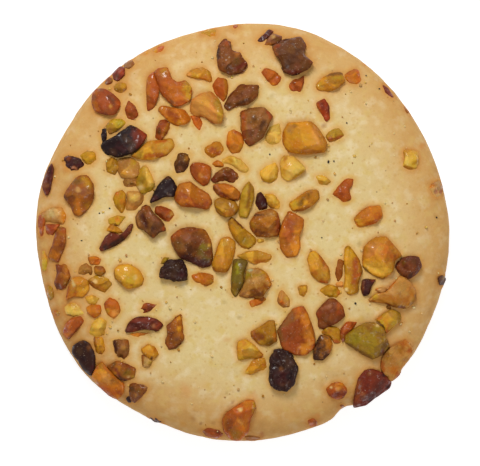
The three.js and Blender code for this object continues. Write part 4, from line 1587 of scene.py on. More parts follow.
        (streak(Tint.DATE, -22.5, -22.5, -21.5, -22.6), spot(Tint.OLIVE, -19.5, -23.3, 0.6),
        streak(Tint.CHESTNUT, -20.1, -21.9, -18.5, -22.3, 0.35),
        streak(Tint.OXBLOOD, -21.3, -22.8, -20.7, -23.8, 0.4),
        # Painted highlight: the sand spot at -19.2, -24.1 is a glint of the light.
        streak(Tint.BARK, -20.6, -24.2, -19.7, -24.7, 0.35), spot(Tint.SAND, -19.2, -24.1, 0.22),
        spot(Tint.MUSTARD, -18.4, -24.1, 0.35), spot(Tint.TEAK, -21.6, -21.8, 0.4))),
    "pistachio_07": Chip(Tint.OCHRE, (-2.5, 1.8, -1.9, 2.8, -0.7, 1.8, 0.7, 0.5, 2.1, -0.7, 2.2, -1.6,
        0.9, -2.6, -0.5, -2.1, -1.7, -0.5, -2.3, 0.8), (streak(Tint.DATE, -1.3, 2.3, 0, 1, 0.22),
        spot(Tint.OLIVE, 0.5, -1.1, 0.6), spot(Tint.MUSTARD, 1.2, -2.1, 0.4),
        streak(Tint.HONEY, -1.8, 1, -0.9, -0.4, 0.35))),
    "pistachio_08": Chip(Tint.OCHRE, (1.3, -16.4, 2.6, -15.7, 4.2, -14.6, 5.3, -14.6, 5.6, -16.4,
        5.7, -18, 4.4, -18.8, 2.7, -18.6, 1.4, -17.3), (spot(Tint.OCHRE, 4.4, -15.3, 0.8),
        spot(Tint.CARAMEL, 1.8, -16.5), streak(Tint.CHESTNUT, 3.2, -17.3, 2.2, -17.2, 0.7),
        streak(Tint.AMBER, 5.3, -16.8, 5.4, -17.8, 0.35), spot(Tint.BRONZE, 4.8, -18.2, 0.4))),
    "pistachio_09": Chip(Tint.MOSS, (-1.6, -4.4, -0.4, -4.2, 0.8, -4.7, 0.2, -6.4, 0.1, -8.2, -0.7, -10,
        -1.3, -10.7, -2, -9.6, -2, -7.2), (spot(Tint.TEAK, 0, -7.4, 0.4),
        streak(Tint.OLIVE, -1.5, -8.7, -1.3, -10.1), streak(Tint.FERN, -0.9, -5, -0.8, -6.6, 0.3),
        spot(Tint.BARK, -1.7, -5, 0.3))),
    "pistachio_10": Chip(Tint.HONEY, (12.2, 24.9, 13.5, 26.2, 15, 27, 16.6, 26.9, 17.1, 25.5, 16, 24.4,
        14.5, 23.8, 12.5, 24), (streak(Tint.BRONZE, 14, 26.6, 16.4, 26.8, 0.35),
        streak(Tint.OCHRE, 14.2, 25.5, 16.3, 25.3, 0.4), spot(Tint.MUSTARD, 12.8, 24.8),
        streak(Tint.MUSTARD, 15, 26, 16.5, 26.2, 0.25))),
    "pistachio_11": Chip(Tint.OCHRE, (-4.7, 5.6, -3.6, 6, -1.3, 5.4, -0.7, 4.2, -1.3, 3.1, -2.9, 2.6,
        -4.3, 3.5, -4.8, 4.8), (spot(Tint.OCHRE, -4.2, 4.6),
        streak(Tint.CARAMEL, -2.9, 3.3, -1.6, 3.5, 0.4), spot(Tint.TEAK, -1.2, 3.4, 0.35),
        spot(Tint.STRAW, -3.3, 4.4))),
    "pistachio_12": Chip(Tint.CARAMEL, (12.9, -17, 14.4, -17.1, 15, -18.4, 14.6, -20, 13.4, -21.2,
        11.8, -21.1, 11.8, -19.8, 12.2, -18.4), (streak(Tint.COAL, 12.6, -17.4, 12.2, -20.9, 1.1),
        spot(Tint.COFFEE, 13.6, -20.8, 0.8))),
    "raisin_01": Chip(Tint.PRUNE, (4.4, -20.9, 5.2, -19.4, 6.6, -19.2, 8.5, -20.4, 9.3, -22.7,
        8.6, -25.1, 7.3, -26.6, 5.6, -26.2, 4.3, -25.2, 4.3, -23),
        (streak(Tint.UMBER, 6.6, -25.1, 7.3, -24.8), spot(Tint.COFFEE, 5.2, -20, 0.4),
        spot(Tint.GRAPE, 7.7, -21.6, 0.8), spot(Tint.MAUVE, 6.4, -22.6, 0.4),
        spot(Tint.WINE, 6.6, -24, 1.2), spot(Tint.COAL, 5, -22.2, 0.8), spot(Tint.COAL, 8, -24, 0.7))),
    "raisin_02": Chip(Tint.COAL, (-23.4, 15.4, -21.3, 16.4, -19.1, 18.1, -17.4, 17.5, -16, 16.4,
        -16.9, 14.7, -18.7, 13.3, -21, 12.7, -23, 13.4, -23.8, 14.6),
        (streak(Tint.BRICK, -17, 17, -16.3, 16, 0.8), streak(Tint.OXBLOOD, -18, 16.6, -17.2, 14.9, 0.8),
        # Painted sheen: the grape spot at -19.4, 15.8 is a grey reflection of the light on the skin.
        streak(Tint.GRAPE, -18.6, 13.8, -18.5, 15), spot(Tint.GRAPE, -19.4, 15.8, 0.6),
        spot(Tint.GRAPE, -21.8, 13.5), spot(Tint.WINE, -20.2, 14.4, 0.8))),
    "raisin_03": Chip(Tint.PRUNE, (-28.6, -18.8, -26.8, -17.9, -25.6, -18.5, -24.8, -20.2, -24.7, -22.4,
        -25.6, -24, -26.8, -23, -27.7, -21.4, -28.8, -20.2), (spot(Tint.UMBER, -27, -18.3, 0.4),
        # Painted highlight: the grape spot at -27.4, -19.8 is a glint of the light.
        spot(Tint.GRAPE, -27.4, -19.8, 0.5, 0.6), spot(Tint.COCOA, -25.7, -19, 0.45),
        streak(Tint.WINE, -25.3, -22.4, -25.5, -23.5, 0.4), spot(Tint.COAL, -26.8, -21.1))),
    "raisin_04": Chip(Tint.PRUNE, (-13.9, -5.8, -12.5, -4.3, -10.1, -4.4, -9.3, -5.8, -9.3, -7.7,
        -10.6, -8.1, -12.4, -7.9, -14, -7.2), (spot(Tint.GRAPE, -11.6, -5.8, 1, 0.6),
        spot(Tint.COFFEE, -13.6, -7.2, 0.4), spot(Tint.WINE, -10.2, -6.8, 0.6))),
    "raisin_05": Chip(Tint.COAL, (-12.6, 9.7, -11.6, 8.9, -11, 7.8, -11.5, 6.1, -13, 6, -15.6, 5,
        -15.2, 6.2, -14.3, 8.1), (spot(Tint.UMBER, -12.6, 9.4, 0.35),
        spot(Tint.GRAPE, -12.3, 6.4, 0.35), spot(Tint.WINE, -14.8, 5.8))),
    "walnut_01": Chip(Tint.COCOA, (6.3, 32.3, 8, 32.7, 9.7, 33, 10.6, 31.6, 10.3, 30.1, 11.8, 28.6,
        10.8, 27.3, 8.3, 26.4, 6.8, 27, 6.1, 29, 5.3, 30, 4.9, 31.4),
        (streak(Tint.TOFFEE, 5.2, 31, 5.5, 29.7, 0.3), spot(Tint.RUST, 5.7, 31.4, 0.4),
        streak(Tint.CHESTNUT, 10.5, 31.5, 11.4, 28.8, 0.35),
        streak(Tint.OXBLOOD, 7.6, 26.8, 9.4, 27, 0.4), streak(Tint.UMBER, 7.4, 28, 9.2, 30.6),
        spot(Tint.MAUVE, 9.2, 27.9))),
    "walnut_02": Chip(Tint.MOCHA, (-0.4, 20.3, 1.4, 21, 3.5, 21.1, 5, 19.6, 4.4, 18.1, 3.4, 16.1,
        2.1, 15, 0.9, 14.6, -0.1, 16, -0.5, 18.6), (streak(Tint.RUST, 0, 20.3, 0.1, 16, 0.4),
        streak(Tint.CHESTNUT, 0.5, 15.3, 1.6, 15, 0.4), streak(Tint.BRICK, 4.3, 20.2, 4.7, 19.4, 0.35),
        # Painted highlight: the mauve streak from 0.9, 18 to 1.4, 15.9 is a streak of light.
        streak(Tint.MAUVE, 0.9, 18, 1.4, 15.9, 0.3), streak(Tint.ROSE_GLINT, 2, 16.3, 2.3, 17.2, 0.25),
        spot(Tint.UMBER, 1.9, 19, 0.7), streak(Tint.UMBER, 3, 17.4, 3.6, 18.8, 0.35))),
    "walnut_03": Chip(Tint.WALNUT, (0, 29.3, 0.8, 28.4, 0, 27, -2, 26.5, -4, 27.2, -4.4, 29.5,
        -4.2, 31.3, -3.1, 32.6, -2, 32.1, -1.9, 30.8, -0.4, 30.3),
        (streak(Tint.COFFEE, -4.3, 31, -4.3, 29.4, 0.4), spot(Tint.RUST, -2.8, 31.8),
        spot(Tint.CARAMEL, -0.9, 30.1), spot(Tint.TEAK, -0.8, 28.8, 0.6),
        spot(Tint.UMBER, -2.4, 27.6, 0.7), streak(Tint.OXBLOOD, 0.4, 28.4, -1.2, 27.4, 0.35),
        spot(Tint.ROSE_GLINT, -2.6, 28.4, 0.3, 0.5), spot(Tint.ROSE_GLINT, -3.5, 31, 0.25, 0.5))),
    "walnut_04": Chip(Tint.CARAMEL, (1.1, 2, 2.3, 3.5, 4.6, 4.2, 5.8, 3.4, 6.3, 1.6, 6, -0.4, 4.3, -0.7,
        2.2, -0.5, 1.2, 0.8), (spot(Tint.HAZEL, 4.5, 3.3, 0.7),
        streak(Tint.UMBER, 1.9, 3.1, 3.3, 3.1, 0.2), spot(Tint.OCHRE, 1.6, 1.4),
        spot(Tint.HAZEL, 4.4, 0.9), streak(Tint.DATE, 2.2, 0.2, 4, -0.1, 0.4),
        streak(Tint.RUST, 6, 3, 6, 0.4, 0.4), spot(Tint.OCHRE, 4.9, -0.4, 0.35))),
    "walnut_05": Chip(Tint.COCOA, (-16.9, 4.5, -15.7, 4.8, -14.9, 3.5, -13.4, 2.1, -12.8, 0.5, -14, 0.1,
        -15, -0.9, -16.2, 0.2, -17.6, 1, -18, 2.7), (spot(Tint.CHESTNUT, -16.2, 4.2, 0.6),
        streak(Tint.MOCHA, -17.6, 3, -17.4, 1.4, 0.4), streak(Tint.WINE, -16.8, 2.9, -16.3, 1.4),
        streak(Tint.MAUVE, -15.9, 3.2, -14.3, 2.2), spot(Tint.BARK, -15.2, 0.8, 0.45),
        spot(Tint.TOFFEE, -14.9, -0.5, 0.4), spot(Tint.SIENNA, -13.2, 0.8, 0.4))),
    "walnut_06": Chip(Tint.WALNUT, (-0.4, 24.9, 0.9, 24.9, 2.7, 24.8, 2.5, 22.9, 0.9, 21.5, -1.2, 21.2,
        -2.4, 20.5, -3.2, 21.2, -2.4, 22.8, -1.4, 24), (spot(Tint.DATE, 0.2, 24.8, 0.35),
        streak(Tint.BARK, -0.8, 21.6, 0.9, 22.2, 0.4), spot(Tint.CHESTNUT, 2.1, 22.8, 0.4),
        streak(Tint.MAUVE, -1.5, 22.3, 1.2, 23.8, 0.45), spot(Tint.UMBER, -2.5, 21.4))),
    "walnut_07": Chip(Tint.TOFFEE, (-12.9, -15.5, -11.6, -14.3, -10.3, -13.5, -10.1, -15.4, -9.8, -17.8,
        -11.2, -19.2, -12.4, -19.4, -13.1, -18, -12.6, -16.6),
        (streak(Tint.CHESTNUT, -12.2, -15.3, -12, -17, 0.6), spot(Tint.HONEY, -10.6, -14.2, 0.45),
        spot(Tint.HONEY, -10.5, -15.8, 0.4), spot(Tint.CHESTNUT, -12.2, -18.6, 0.6),
        spot(Tint.MAUVE, -11.1, -17.6), streak(Tint.DATE, -10.2, -18.4, -11.8, -19.3, 0.3))),
    "walnut_08": Chip(Tint.DATE, (25.5, -5.6, 26.5, -4.1, 28, -3.7, 29.5, -3.9, 30.1, -5.4, 29.1, -6.9,
        27.8, -7.7, 26.4, -6.9), (spot(Tint.CHESTNUT, 26, -5.4), spot(Tint.COFFEE, 28, -7, 0.6),
        spot(Tint.GRAPE, 28.7, -4.6, 0.5, 0.6), spot(Tint.TEAK, 26.7, -4.8, 0.4))),
}

SMALL: dict[str, tuple[Chip, ...]] = {
    "almond_amber": (
        Chip(Tint.HONEY, (-16.7, 30.4, -16, 30.7, -15.9, 30.3, -16.4, 30.1), (), 0.15),
        Chip(Tint.FLAME, (-15.3, 30.7, -14.1, 31.5, -13.2, 31.6, -13.4, 30.7, -14.6, 30.3),
            (spot(Tint.HONEY, -14.8, 30.7),), 0.25),
        Chip(Tint.OCHRE, (-7.2, 33.8, -5.7, 34.4, -4.5, 34.3, -4.5, 33, -5.6, 33, -6.8, 33.4),
            (spot(Tint.AMBER, -4.9, 33.3),), 0.3),
        Chip(Tint.GOLD, (-9.6, 26.5, -8.6, 27.4, -6.7, 27.8, -5.4, 27, -5.2, 25.4, -6.6, 25.7,
            -8.6, 26), (spot(Tint.APRICOT, -9, 26.5, 0.4), streak(Tint.AMBER, -7, 26, -5.6, 25.8, 0.4)),
            0.9),
        Chip(Tint.AMBER, (17, 26.6, 18.5, 27.6, 19.4, 27.4, 19.9, 25.6, 19.2, 25, 17.9, 25.3,
            17.2, 25.8), (streak(Tint.FLAME, 19.3, 27, 19.5, 25.4, 0.4),), 0.8),
        Chip(Tint.FLAME, (-8.9, 19.7, -7.3, 19.6, -6.7, 18.4, -7.2, 17.2, -8, 17.8),
            (spot(Tint.RUST, -7.6, 19.3, 0.4),), 0.7),
        Chip(Tint.ORANGE, (-2.5, 17, -1.5, 17.4, -0.2, 16.7, 0.2, 15, -0.6, 13.5, -1.9, 13.4,
            -2.8, 14.9), (streak(Tint.SIENNA, -1.2, 17, -0.2, 16.6, 0.35),
            spot(Tint.FLAME, -2.6, 15.1, 0.4), spot(Tint.HONEY, -0.2, 14.4)), 1.1),
        Chip(Tint.TAN, (31.3, 7.6, 32, 8.6, 33, 8.9, 33.7, 7.7, 33.2, 6.2, 32.2, 6.1),
            (spot(Tint.AMBER, 31.6, 8, 0.4), spot(Tint.COPPER, 33.3, 7, 0.4),
            spot(Tint.ROSE_GLINT, 32.5, 7.1, 0.4)), 0.8),
        Chip(Tint.AMBER, (-26, -4, -24.6, -3.8, -23.7, -4.3, -24.2, -5.3, -25.6, -5.1),
            (spot(Tint.FLAME, -24.4, -4.6, 0.4),), 0.7),
        Chip(Tint.OCHRE, (-21.3, 6.8, -20.2, 7.3, -19.5, 6.5, -19.7, 4.2, -20.3, 3.4, -21.3, 4.4,
            -21.8, 5.8), (spot(Tint.RUSSET, -20.9, 6.7, 0.45), spot(Tint.AMBER, -20.1, 5.3)), 0.9),
        Chip(Tint.HONEY, (-22.9, 0.4, -22.2, 1.5, -20.8, 1, -20, 0.1, -21, -0.1, -22.2, 0.2), (), 0.6),
        Chip(Tint.AMBER, (-26.3, -12.4, -25.2, -11.8, -23.8, -12, -23.8, -13.4, -24.9, -14.2,
            -26, -13.4), (spot(Tint.ORANGE, -25.9, -12.6, 0.4), spot(Tint.SIENNA, -25, -13.6, 0.45),
            spot(Tint.FLAME, -24.1, -12.4, 0.4)), 0.8),
        Chip(Tint.AMBER, (-32.1, -13.1, -31.1, -12.6, -30.6, -13.6, -31.5, -14.2),
            (spot(Tint.MUSTARD, -31, -13.3, 0.4),), 0.5),
        Chip(Tint.HONEY, (-25, -17.4, -23.5, -17.4, -23.1, -19.4, -23.6, -20.4, -24.8, -19.8),
            (streak(Tint.TOFFEE, -24.9, -17.7, -24.6, -19.8, 0.25),
            spot(Tint.TOFFEE, -23.8, -20.2, 0.3)), 0.8),
        Chip(Tint.AMBER, (-8.7, -7, -7.4, -6.5, -4.9, -6.9, -4.8, -8.3, -6.2, -8.8, -8.1, -8),
            (spot(Tint.RUSSET, -8, -7.2, 0.4), spot(Tint.RUSSET, -6.6, -7.9, 0.4),
            spot(Tint.OCHRE, -5.3, -8.2, 0.4)), 0.8),
        Chip(Tint.HAZEL, (6, -9.7, 6.6, -9.3, 7.7, -10.8, 7.8, -12.2, 6.5, -12.5, 5.7, -11.4),
            (spot(Tint.FLAME, 6.6, -11.5, 0.4), spot(Tint.MUSTARD, 7.4, -10.9, 0.35)), 0.7),
        Chip(Tint.GOLD, (9.4, -8.7, 10.7, -8.6, 10.8, -9.6, 10.2, -10.5, 9.5, -10.3, 9.1, -9.1),
            (spot(Tint.TAN, 9.3, -9.2, 0.3),), 0.6),
        Chip(Tint.OCHRE, (13, -16.4, 14.4, -15.5, 16.1, -15.8, 16.5, -18.3, 15.2, -18.4, 14.6, -17.2,
            13.3, -16.9), (spot(Tint.TOFFEE, 13.6, -16.6, 0.35), spot(Tint.CARAMEL, 14.4, -16.4, 0.4),
            streak(Tint.SIENNA, 14.9, -18, 16.5, -18.3, 0.35)), 0.8),
        Chip(Tint.TAN, (22, -9.3, 23.2, -9, 24.3, -9.2, 23.6, -10, 22.5, -9.9),
            (spot(Tint.FLAME, 22.2, -9.3, 0.3),), 0.5),
        Chip(Tint.BRONZE, (23.8, -12, 24.6, -12, 24.9, -12.6, 24, -12.8), (), 0.5),
        Chip(Tint.HONEY, (1, -22.2, 1.8, -20.9, 3.7, -20.9, 4.1, -22.5, 3, -23, 1.2, -23.6, 0.3, -23.3),
            (spot(Tint.AMBER, 3.6, -21.9, 0.45), spot(Tint.OCHRE, 2.5, -21.7),
            spot(Tint.BUTTER, 0.6, -23.3, 0.3)), 0.8),
    ),
    "almond_rust": (
        Chip(Tint.MOCHA, (-20, 28.7, -18.6, 29.2, -18.1, 28.5, -19.2, 27.7, -20, 27.9),
            (spot(Tint.CHESTNUT, -18.4, 28.6, 0.4),), 0.5),
        Chip(Tint.CHESTNUT, (-23.3, 25.3, -22.7, 26.3, -21.9, 26.1, -21.9, 25.3, -22.9, 24.9),
            (spot(Tint.TEAK, -23.2, 25.4, 0.3), spot(Tint.BRONZE, -22, 25.6, 0.3)), 0.6),
        Chip(Tint.SIENNA, (-2, 34.9, -1.2, 35.2, -0.7, 35, -1.2, 34.4, -1.9, 34.6),
            (spot(Tint.CHESTNUT, -1.9, 34.7, 0.3),), 0.3),
        Chip(Tint.SIENNA, (-4.2, 26.3, -2.8, 25.8, -2.4, 24.7, -2.6, 23, -3.2, 21.9, -4.5, 23,
            -5.2, 24.6), (streak(Tint.CARAMEL, -2.8, 25.5, -2.7, 23, 0.4), spot(Tint.RUST, -4, 23.2)),
            1),
        Chip(Tint.SIENNA, (3, 26.9, 3.7, 27.7, 5.2, 27.3, 6.5, 26.1, 5.7, 24.8, 4.8, 24.8, 3.7, 26),
            (streak(Tint.COPPER, 4.5, 27.2, 4.9, 26.2), spot(Tint.ORANGE, 5, 25, 0.4)), 0.9),
        Chip(Tint.SIENNA, (10.2, 26.4, 8.5, 25.8, 7.6, 24.7, 8.2, 23.8, 9.7, 23.6, 10, 24.7,
            10.3, 25.6), (streak(Tint.CHESTNUT, 8.4, 25.3, 9.9, 25.9, 0.35),
            spot(Tint.FLAME, 7.9, 24.6, 0.4), spot(Tint.RUST, 9, 24, 0.4)), 0.9),
        Chip(Tint.OXBLOOD, (23.4, 25, 24.3, 24.7, 25.4, 22.9, 24.8, 22.8, 24, 23.6), (), 0.3),
        Chip(Tint.RUST, (-19.2, 22.3, -18.1, 21.4, -17.5, 19.9, -18.2, 18.9, -19.4, 19.3, -19.8, 20.8),
            (spot(Tint.CHESTNUT, -18.7, 19.8), spot(Tint.RUSSET, -18.9, 21.2)), 1.1),
        Chip(Tint.BRICK, (12.2, 21.8, 13.6, 22.6, 14.4, 21.4, 14.6, 19.3, 13.9, 18.7, 13.1, 20,
            12.5, 21), (streak(Tint.OXBLOOD, 14.3, 21.5, 14.6, 20, 0.35),
            streak(Tint.RUSSET, 12.4, 21.5, 13, 20.2, 0.25),
            streak(Tint.OXBLOOD, 13.2, 21.6, 13.3, 20.9, 0.35)), 1.1),
        Chip(Tint.SIENNA, (15, 6.6, 16, 8, 17.2, 9.2, 18.6, 9.2, 18.3, 8, 17.8, 7.3, 18.1, 5.8,
            16.9, 5.2, 16, 5.9), (streak(Tint.RUST, 16.3, 7, 16.8, 6.5, 0.45),
            spot(Tint.TOFFEE, 16.5, 8.1, 0.35), spot(Tint.COPPER, 17.2, 5.6)), 0.9),
        Chip(Tint.TOFFEE, (27.1, 21.4, 28, 20.5, 27.9, 19.9, 27.4, 20.5), (), 0.3),
        Chip(Tint.SIENNA, (-34.3, 3, -33.4, 3.2, -33.2, 1.4, -33.5, -0.3, -34.1, -0.6, -34.5, 1.2),
            (spot(Tint.CHESTNUT, -33.9, 0),), 0.6),
        Chip(Tint.SIENNA, (-33.2, 1.5, -31.8, 1.6, -30.6, 1.5, -31.3, 0.5, -32, -0.4, -33, 0.1),
            (spot(Tint.BRICK, -32.2, 0.9, 0.6),), 0.8),
        Chip(Tint.RUST, (-14.7, 4.4, -13.7, 4.8, -12, 4, -11.4, 3, -12.4, 1.8, -13.6, 2.4, -14.7, 3.4),
            (spot(Tint.CHESTNUT, -13.4, 3.3, 0.4), spot(Tint.ROSE_GLINT, -12.4, 2.9, 0.3),
            spot(Tint.HAZEL, -11.9, 3.3, 0.4)), 0.9),
        Chip(Tint.RUSSET, (-23.3, -11.8, -22.2, -10.6, -20.9, -11.4, -20.5, -13, -21.6, -14.3,
            -22.8, -13.4), (spot(Tint.APRICOT, -21.6, -13.4, 0.7), spot(Tint.COPPER, -21.8, -11.4),
            spot(Tint.OCHRE, -22.7, -13, 0.4)), 0.9),
        Chip(Tint.RUSSET, (-28.9, -14.2, -27.3, -13.9, -26.6, -14.7, -27.5, -15.9, -29.3, -17.8,
            -30.3, -16.7, -29.8, -15.2), (spot(Tint.COPPER, -27.4, -14.5, 0.45),
            spot(Tint.BRICK, -29.8, -16.3), spot(Tint.COPPER, -28.8, -16.3, 0.45),
            streak(Tint.CHESTNUT, -27.7, -15.9, -29.2, -17.6, 0.22)), 1.1),
        Chip(Tint.RUST, (-17.3, -12.6, -16.6, -11.7, -14.1, -11.8, -14.8, -12.5, -16, -13.2,
            -16.7, -13.5), (streak(Tint.MAROON, -16.5, -12.8, -15.3, -12.4, 0.4),
            spot(Tint.CHESTNUT, -14.4, -12.1, 0.3)), 0.6),
        Chip(Tint.RUSSET, (0.9, -11.1, 3.3, -10.5, 4.1, -11.1, 3, -11.9, 1.4, -12.4),
            (spot(Tint.MAUVE, 3.2, -11, 0.35), spot(Tint.OCHRE, 1.6, -12.1, 0.3),
            spot(Tint.OCHRE, 3.8, -11.2, 0.3)), 0.6),
        Chip(Tint.TOFFEE, (16, -4.2, 17, -4.7, 16.7, -6.9, 15.9, -8.1, 15.4, -7, 15.6, -5), (), 0.7),
        Chip(Tint.SIENNA, (16.3, -16, 17.4, -14.7, 19.1, -14.8, 18.5, -16, 17.2, -16.9, 16.6, -18.3,
            16.3, -17), (spot(Tint.CARAMEL, 16.7, -17.2, 0.35), spot(Tint.RUST, 18.2, -15.2, 0.4)),
            0.9),
        Chip(Tint.RUST, (-7, -33.2, -5.6, -32.7, -4, -33, -3.3, -33.8, -4.3, -34.5, -6.2, -34.1),
            (spot(Tint.WALNUT, -6.6, -33.5), spot(Tint.PLUM, -4.1, -33.4, 0.4),
            spot(Tint.BRICK, -4.1, -34.1, 0.4), spot(Tint.BARK, -3.5, -33.5, 0.25)), 0.6),
        Chip(Tint.CARAMEL, (0.3, -34.2, 1.4, -34, 3.1, -34.4, 2, -34.8, 0.6, -34.8), (), 0.4),
        Chip(Tint.SIENNA, (13.7, -26, 14.9, -25.1, 16.8, -25, 17.7, -26.5, 17, -27.6, 15.8, -27.9,
            14.5, -27.2), (streak(Tint.AMBER, 14.4, -25.6, 16.7, -25.3, 0.35),
            # Painted highlights: the cream spot at 14.8, -25.8 and the apricot spot at 15.9, -26.1 are
            # glints of the light.
            spot(Tint.CREAM, 14.8, -25.8, 0.2), spot(Tint.APRICOT, 15.9, -26.1, 0.35),
            streak(Tint.OXBLOOD, 14.9, -27, 17, -27)), 0.9),
        Chip(Tint.SIENNA, (10.9, -31.4, 11.8, -31.1, 12.5, -31.5, 12.3, -32.5, 11.2, -32.5),
            (spot(Tint.CHESTNUT, 12.1, -31.8, 0.4),), 0.5),
        Chip(Tint.TOFFEE, (16.3, -28.7, 17, -28.8, 17, -29.4, 16.5, -29.3), (), 0.4),
    ),
    "cashew_gold": (
        Chip(Tint.HAZEL, (-21, 10.4, -20.9, 12.4, -19, 12.8, -17.3, 11.9, -17.2, 10, -18.4, 9.1,
            -20.3, 9.3), (spot(Tint.MUSTARD, -18.3, 11.8, 0.6), spot(Tint.HONEY, -19.8, 10.4, 0.6)), 1),
        Chip(Tint.HONEY, (-6.4, 14.3, -5, 15.4, -3.7, 15.3, -3.1, 14, -3.8, 13, -5.4, 12.7, -6.3, 13.4),
            (streak(Tint.SIENNA, -5.3, 14, -4.3, 13.4),), 0.9),
        Chip(Tint.AMBER, (-5.3, 11.6, -4.3, 12.3, -3.2, 11.8, -3.3, 11, -4.6, 11),
            (streak(Tint.TOFFEE, -5, 11.1, -3.4, 11, 0.2),), 0.6),
        Chip(Tint.HAZEL, (-19.4, 7, -17.4, 7, -16.4, 6.2, -17, 4.7, -18, 3.8, -19.6, 4, -19.5, 5.6),
            (spot(Tint.BUTTER, -18.4, 6.1, 0.6), spot(Tint.CARAMEL, -17.9, 4.5)), 0.9),
        Chip(Tint.GOLD, (-1.1, -3.7, 0.6, -3, 2.6, -2.8, 4.6, -3.3, 5, -4, 3.9, -4.9, 2.2, -5.3,
            0.7, -4.6, -0.5, -4.2), (streak(Tint.AMBER, 2, -4.8, 3.6, -4.6, 0.45),
            spot(Tint.MUSTARD, 0.2, -3.7, 0.6), spot(Tint.GOLD, 3.6, -3.7, 0.6)), 0.8),
        Chip(Tint.HONEY, (-17.1, -19.4, -15.9, -18.5, -14.7, -19, -14, -20.3, -15.2, -21.2,
            -16.6, -20.2), (spot(Tint.AMBER, -14.6, -19.5, 0.4), spot(Tint.STRAW, -15.6, -19.1),
            spot(Tint.BARK, -15.3, -20.9, 0.25)), 0.8),
    ),
    "cashew_straw": (
        Chip(Tint.BUTTER, (-3.5, 12.4, -2, 13, -0.2, 12.3, 1, 10.8, 0.4, 10.1, -1.2, 10.8, -2.2, 11.5,
            -3.4, 11.6), (spot(Tint.BUTTER, 0.2, 10.9), spot(Tint.HONEY, -2.2, 12.2, 0.6)), 0.8),
        Chip(Tint.BUTTER, (4.5, 18, 6.2, 18.5, 6.5, 16.8, 6.2, 15.1, 4.4, 14.8, 3.6, 15.5, 4.1, 17.2),
            (spot(Tint.STRAW, 4.6, 15.5, 0.6),), 0.75),
        Chip(Tint.STRAW, (2.7, 10.3, 3.9, 11.4, 5.5, 11.9, 6, 10.8, 5.7, 9.1, 4.6, 8.4, 3.3, 8.8),
            (streak(Tint.OCHRE, 3.4, 8.8, 5.5, 8.8, 0.35), spot(Tint.OCHRE, 5.7, 9.8, 0.35)), 0.9),
        Chip(Tint.STRAW, (12.1, 9.6, 13.5, 9.7, 14.7, 8.7, 13.9, 8.1, 12.7, 8.2),
            (spot(Tint.HONEY, 13, 8.6, 0.4),), 0.5),
        Chip(Tint.STRAW, (26.8, 13.9, 28.1, 14.1, 29.3, 13.7, 29.5, 12.3, 29.2, 11, 28, 10.6,
            26.8, 11.2, 27, 12.6), (streak(Tint.BUTTER, 27.4, 12.9, 27.6, 11.9),
            streak(Tint.CARAMEL, 27.1, 11.1, 28.3, 10.8, 0.3),
            streak(Tint.OCHRE, 28.6, 11.7, 29.3, 12.2, 0.35)), 0.8),
        Chip(Tint.HAZEL, (-34, 3.3, -31.8, 4.4, -30.3, 4.4, -29.6, 3, -30.1, 1.6, -32, 1.8, -33.4, 2.2),
            (streak(Tint.AMBER, -29.9, 3.6, -30, 2, 0.4), spot(Tint.SAND, -32, 3.2, 0.8)), 0.7),
        Chip(Tint.MUSTARD, (-33.8, -3.1, -33.2, -3, -32.8, -4.7, -33.1, -6.3, -33.8, -6.2),
            (spot(Tint.HONEY, -33.3, -3.8),), 0.5),
        Chip(Tint.MUSTARD, (-22.6, 2.4, -21, 3, -19.5, 2.8, -20.2, 2, -20.9, 1.3, -22.4, 1.5),
            (spot(Tint.ORANGE, -20.9, 2.3), spot(Tint.CHESTNUT, -21.2, 1.4, 0.3)), 0.7),
        Chip(Tint.STRAW, (2.2, -0.9, 3.5, -1, 3.5, -1.5, 2.5, -1.6), (), 0.4),
        Chip(Tint.BUTTER, (-30, -12.4, -28.7, -11.4, -27.4, -12.1, -26.6, -13.5, -27.9, -14.1,
            -29.6, -13.6), (spot(Tint.HONEY, -29, -11.8),
            streak(Tint.BRONZE, -29.4, -13.8, -28, -14, 0.22)), 0.8),
        Chip(Tint.STRAW, (-26.5, -10.7, -25.2, -10.3, -23.9, -10.9, -24.6, -11.8, -25.9, -11.8), (),
            0.5),
        Chip(Tint.STRAW, (-25.2, -14.8, -24, -14, -22.8, -14.7, -23.2, -17, -24.6, -17.3, -25.8, -16.7),
            (spot(Tint.MUSTARD, -25.4, -16.3, 0.45), spot(Tint.BUTTER, -24, -15.2, 0.6)), 0.8),
        Chip(Tint.ORANGE, (-19.4, -16.8, -17.8, -17.4, -15.3, -16.6, -17.4, -16.5), (), 0.2),
        Chip(Tint.APRICOT, (15.5, -8.3, 16.6, -8, 16.7, -9, 15.6, -8.9), (), 0.5),
    ),
    "pistachio_green": (
        Chip(Tint.MUSTARD, (-23, 18, -22, 19.1, -20.4, 19.3, -19.4, 18.5, -20.6, 17.6, -21.7, 16.8,
            -22.5, 16.6), (spot(Tint.FAWN, -22.3, 17), spot(Tint.FERN, -20.6, 18.6, 0.6, 0.5)), 0.9),
        Chip(Tint.OCHRE, (-32.8, -8.7, -32, -9.1, -31.7, -10.7, -32.5, -11.3, -33, -10),
            (spot(Tint.OLIVE, -32.4, -10.9, 0.35),), 0.6),
        Chip(Tint.TAN, (-17, -20.3, -16, -20.6, -15.1, -21.4, -15.7, -22.4, -16.8, -22.2),
            (streak(Tint.TOFFEE, -16.8, -20.4, -16.9, -21.8, 0.25),
            spot(Tint.OLIVE, -15.4, -21.7, 0.35)), 0.7),
    ),
    "pistachio_olive": (
        Chip(Tint.OCHRE, (-21.8, 24.7, -21, 25.3, -19.7, 25.2, -19.4, 24.2, -20.6, 23.4, -21.5, 23.9),
            (spot(Tint.BRONZE, -20.8, 23.9),), 0.7),
        Chip(Tint.MAUVE, (4.9, 33.6, 6.6, 33.1, 6.2, 32.1, 4.8, 31.5, 3.5, 31.6, 4.2, 32.9),
            # Painted highlight: the tan spot at 5.1, 33 is a glint of the light.
